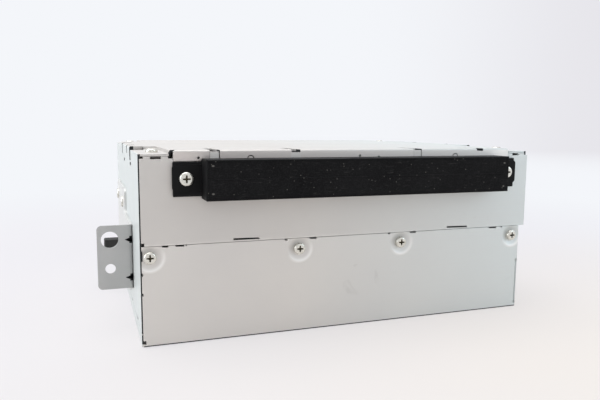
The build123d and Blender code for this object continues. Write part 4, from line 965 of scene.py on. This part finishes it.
@dataclass(frozen=True)
class Threads:
    """Threads on the three lead screws and on the worm."""

    bar_radius_mm: float = 2.5
    radius_play_mm: float = 0.05
    screw_pitch_mm: float = 1.8
    worm_pitch_mm: float = 1.57
    groove_mm: float = 0.45
    rings_per_pitch: int = 4
    # A face along the bar leans less than this, and one round its axis is nearly as long as the longest.
    most_lean: float = 0.01
    near_longest: float = 0.9
    cut_play: float = 1e-7

    def build(self, shop: Workshop) -> None:
        """Cut each thread inside the outline of its CAD node.

        Args:
            shop: workshop that places the threaded bars.
        """
        nodes = shop.frame["nodes"]
        for node, body in (
            ("lead_screw_front_right", Body.SCREW_FRONT_RIGHT),
            ("lead_screw_rear_right", Body.SCREW_REAR_RIGHT),
            ("lead_screw_rear_left", Body.SCREW_REAR_LEFT),
        ):
            shape = self.grooved(nodes[node], Axis.Z, self.screw_pitch_mm)
            shop.place(f"{node}_grooved", shape, body, Slot.SHAFT, node)
        shape = self.grooved(nodes["stack_worm"], Axis.Y, self.worm_pitch_mm)
        shop.place("stack_worm_threaded", shape, Body.WORM, Slot.SHAFT, "stack_worm")

    def grooved(self, node: bpy.types.Object, axis: Axis, pitch_mm: float) -> bmesh.types.BMesh:
        """Copy a CAD node, slice its bar into rings and sink the rings in turn, so that it reads as a thread.

        Args:
            node: CAD node with a round bar along one axis.
            axis: the axis that the bar lies along.
            pitch_mm: distance from one thread to the next.

        Returns:
            The threaded copy.
        """
        shape = welded_copy(node)
        along = Vector([float(axis == other) for other in Axis])
        sides = [
            face
            for face in shape.faces
            if abs(face.normal.dot(along)) < self.most_lean and longest_edge(face) > 2 * pitch_mm * MM
        ]
        centre = self.axis_point(sides)
        bar = [face for face in sides if self.is_on_bar(face, centre, along)]
        low = min(vert.co[axis] for face in bar for vert in face.verts)
        high = max(vert.co[axis] for face in bar for vert in face.verts)
        steps = int((high - low) / (pitch_mm * MM) * self.rings_per_pitch)
        for step in range(1, steps):
            corners = {vert for face in bar for vert in face.verts}
            edges = {edge for face in bar for edge in face.edges}
            level = centre - along * centre.dot(along) + along * (low + (high - low) * step / steps)
            cut = bmesh.ops.bisect_plane(
                shape, geom=[*corners, *edges, *bar], plane_co=level, plane_no=along, dist=self.cut_play
            )
            bar = [part for part in cut["geom"] if isinstance(part, bmesh.types.BMFace)]
        for vert in {vert for face in bar for vert in face.verts}:
            step = round((vert.co[axis] - low) / (high - low) * steps)
            if 0 < step < steps and step % self.rings_per_pitch >= self.rings_per_pitch / 2:
                spoke = vert.co - centre
                spoke -= along * spoke.dot(along)
                vert.co -= spoke.normalized() * self.groove_mm * MM
        return shape

    def axis_point(self, sides: list[bmesh.types.BMFace]) -> Vector:
        """Find the middle of the longest faces, which lie round the bar's axis.

        Args:
            sides: faces along the bar.

        Returns:
            A point on the axis.
        """
        longest = max(longest_edge(face) for face in sides)
        around = [face for face in sides if longest_edge(face) > self.near_longest * longest]
        points = [vert.co for face in around for vert in face.verts]
        low = Vector([min(point[axis] for point in points) for axis in Axis])
        high = Vector([max(point[axis] for point in points) for axis in Axis])
        return (low + high) / 2

    def is_on_bar(self, face: bmesh.types.BMFace, centre: Vector, along: Vector) -> bool:
        """Tell whether all the corners of a face lie on the bar's round surface.

        Args:
            face: the face.
            centre: a point on the bar's axis.
            along: direction of the axis.

        Returns:
            True where they do.
        """
        arms = [vert.co - centre for vert in face.verts]
        radii = [(arm - along * arm.dot(along)).length for arm in arms]
        return all(abs(radius - self.bar_radius_mm * MM) < self.radius_play_mm * MM for radius in radii)


# ---------------------------------------------------------------- stage and camera
@dataclass(frozen=True)
class Lamp:
    """A square lamp that faces the object; its place and side are in metres, and its power in watts."""

    name: str
    place: Triple
    side: float
    power: float
    tint: str = "#ffffff"

    def build(self) -> None:
        """Hang the lamp."""
        data = bpy.data.lights.new(self.name, "AREA")
        data.color = linear(self.tint)[:3]
        data.size = self.side
        data.energy = self.power
        lamp = show(bpy.data.objects.new(self.name, data))
        spot = Vector(self.place)
        lamp.matrix_world = Matrix.Translation(spot) @ (-spot).to_track_quat("-Z", "Y").to_matrix().to_4x4()


@dataclass(frozen=True)
class Stage:
    """Pale paper floor and backdrop, and soft light from above and from the left; sizes are in metres."""

    near: str = "#f7f2ee"
    near_left: str = "#f0f1f9"
    warm_side: Ramp = Ramp(-0.25, 0.05)
    warm_ahead: Ramp = Ramp(0.1, -0.15)
    far: str = "#f4f6fa"
    far_right: str = "#e7e6eb"
    right_end: Ramp = Ramp(0.7, 1.95, curve=Curve.SOFT)
    away: Ramp = Ramp(0.1, 0.6, curve=Curve.SOFT)
    shade: str = "#d3cdc9"
    glow: Ramp = Ramp(0.0, 1.0, 0.68, 1.0)
    room: str = "#fbfcff"
    room_light: float = 0.64
    width: float = 12.0
    floor_z: float = -0.0002
    backdrop_y: float = 1.6
    lamps: tuple[Lamp, ...] = (
        Lamp("key_above", (-0.25, 0.1, 1.4), 1.3, 15.6),
        Lamp("key_left", (-1.4, -0.1, 0.55), 0.9, 9.3, "#f6fbff"),
        Lamp("fill_right", (0.6, -0.5, 0.35), 0.4, 1.0, "#d8efff"),
    )

    def build(self) -> None:
        """Build the floor, the backdrop, the room and the lamps."""
        self.paper("floor", (0.0, 0.0, self.floor_z), 0.0, self.floor_paper())
        self.paper("backdrop", (0.0, self.backdrop_y, 0.0), math.radians(90), self.backdrop_paper())
        self.surround()
        for lamp in self.lamps:
            lamp.build()

    def paper(self, name: str, place: Triple, turn: float, material: bpy.types.Material) -> None:
        """Add a large flat sheet of the stage.

        Args:
            name: name of the sheet.
            place: its middle.
            turn: its turn about X, in radians.
            material: what it is made of.
        """
        shape = bmesh.new()
        bmesh.ops.create_grid(shape, x_segments=1, y_segments=1, size=self.width / 2)
        sheet = show_shape(name, shape, material)
        sheet.location = place
        sheet.rotation_euler = (turn, 0.0, 0.0)

    def floor_paper(self) -> bpy.types.Material:
        """Make paper that glows a little where it is seen, so that the object's shadow on it stays soft.

        Returns:
            The floor's material.
        """
        made = bpy.data.materials.new("pale_paper_floor")
        tree = empty_tree(made)
        place = add_node(tree, "ShaderNodeTexCoord").outputs["Object"]
        reach = add_node(tree, "ShaderNodeVectorMath", {"operation": "LENGTH", 0: place}).outputs["Value"]
        away = add_node(tree, "ShaderNodeMapRange", self.away.of(reach)).outputs[0]
        axes = add_node(tree, "ShaderNodeSeparateXYZ", {0: place}).outputs
        side = add_node(tree, "ShaderNodeMapRange", self.warm_side.of(axes[Axis.X])).outputs[0]
        ahead = add_node(tree, "ShaderNodeMapRange", self.warm_ahead.of(axes[Axis.Y])).outputs[0]
        warm = (meeting(tree, side, ahead), self.near)
        colour = layered(tree, self.near_left, [warm, (away, self.distance_colour(tree, axes[Axis.X]))])
        glow = add_node(tree, "ShaderNodeEmission", {"Strength": 1.0, "Color": colour}).outputs[0]
        shaded = add_node(tree, "ShaderNodeBsdfDiffuse", {"Color": linear(self.shade)}).outputs[0]
        share = add_node(tree, "ShaderNodeMapRange", self.glow.of(away)).outputs[0]
        seen = add_node(tree, "ShaderNodeMixShader", {0: share, 1: shaded, 2: glow}).outputs[0]
        plain = add_node(tree, "ShaderNodeBsdfDiffuse", {"Color": linear(self.near)}).outputs[0]
        both = {0: self.seen_ray(tree), 1: plain, 2: seen}
        paper = add_node(tree, "ShaderNodeMixShader", both).outputs[0]
        add_node(tree, "ShaderNodeOutputMaterial", {"Surface": paper})
        return made

    def backdrop_paper(self) -> bpy.types.Material:
        """Make paper that is only seen, and lets the room's light through to the object.

        Returns:
            The backdrop's material.
        """
        made = bpy.data.materials.new("pale_paper_backdrop")
        tree = empty_tree(made)
        place = add_node(tree, "ShaderNodeTexCoord").outputs["Object"]
        along = add_node(tree, "ShaderNodeSeparateXYZ", {0: place}).outputs[Axis.X]
        shown = {"Strength": 1.0, "Color": self.distance_colour(tree, along)}
        glow = add_node(tree, "ShaderNodeEmission", shown).outputs[0]
        clear = add_node(tree, "ShaderNodeBsdfTransparent").outputs[0]
        both = {0: self.seen_ray(tree), 1: clear, 2: glow}
        paper = add_node(tree, "ShaderNodeMixShader", both).outputs[0]
        add_node(tree, "ShaderNodeOutputMaterial", {"Surface": paper})
        return made

    def distance_colour(self, tree: Tree, along: Socket) -> Socket:
        """Colour of the far paper, greyer to the right."""
        share = add_node(tree, "ShaderNodeMapRange", self.right_end.of(along)).outputs[0]
        return layered(tree, self.far, [(share, self.far_right)])

    def seen_ray(self, tree: Tree) -> Socket:
        """Tell rays that show the stage from rays that light the object.

        Args:
            tree: node tree that gets the test.

        Returns:
            A socket that gives 1 for camera, glossy and transmission rays, else 0.
        """
        path = add_node(tree, "ShaderNodeLightPath").outputs
        share = path["Is Camera Ray"]
        for name in ("Is Glossy Ray", "Is Transmission Ray"):
            either = {"operation": "MAXIMUM", 0: share, 1: path[name]}
            share = add_node(tree, "ShaderNodeMath", either).outputs[0]
        return share

    def surround(self) -> None:
        """Make the pale room, which also lights the object evenly."""
        world = bpy.data.worlds.new("pale_room")
        tree = empty_tree(world)
        paper = {"Color": linear(self.far), "Strength": 1.0}
        shown = add_node(tree, "ShaderNodeBackground", paper).outputs[0]
        lighting = {"Color": linear(self.room), "Strength": self.room_light}
        light = add_node(tree, "ShaderNodeBackground", lighting).outputs[0]
        both = {0: self.seen_ray(tree), 1: light, 2: shown}
        room = add_node(tree, "ShaderNodeMixShader", both).outputs[0]
        add_node(tree, "ShaderNodeOutputWorld", {"Surface": room})
        bpy.context.scene.world = world


@dataclass(frozen=True)
class CameraView:
    """Where the photograph was taken from, in the part's frame; angles are in degrees."""

    place_mm: Triple = (-114.05, -327.5, 91.6)
    yaw: float = 19.68
    pitch: float = 7.07
    roll: float = 0.456
    focal_mm: float = 35.76
    sensor_mm: float = 36.0
    nearest_mm: float = 10.0

    def build(self) -> None:
        """Make the scene's camera."""
        yaw, pitch, roll = (math.radians(angle) for angle in (self.yaw, self.pitch, self.roll))
        right = Vector((math.cos(yaw), -math.sin(yaw), 0.0))
        ahead = Vector((math.sin(yaw), math.cos(yaw), 0.0))
        up = Vector((0.0, 0.0, 1.0))
        look = ahead * math.cos(pitch) - up * math.sin(pitch)
        tilt_up = up * math.cos(pitch) + ahead * math.sin(pitch)
        axis_x = right * math.cos(roll) + tilt_up * math.sin(roll)
        axis_y = tilt_up * math.cos(roll) - right * math.sin(roll)
        turn = Matrix((axis_x, axis_y, -look)).transposed()
        data = bpy.data.cameras.new("main_camera")
        data.lens = self.focal_mm
        data.sensor_width = self.sensor_mm
        data.clip_start = self.nearest_mm * MM
        camera = show(bpy.data.objects.new("main_camera", data))
        camera.matrix_world = Matrix.Translation(Vector(self.place_mm) * MM) @ turn.to_4x4()
        bpy.context.scene.camera = camera


def main() -> None:
    """Build the whole scene in order."""
    logging.basicConfig(level=logging.INFO, format="%(name)s %(message)s")
    shop = Workshop(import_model())
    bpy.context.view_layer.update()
    bpy.context.scene.view_settings.view_transform = "Standard"
    CameraView().build()
    Stage().build()
    shop.dress_nodes()
    OuterShells().build(shop)
    FeltLips().build(shop)
    Threads().build(shop)


if __name__ == "__main__":
    main()
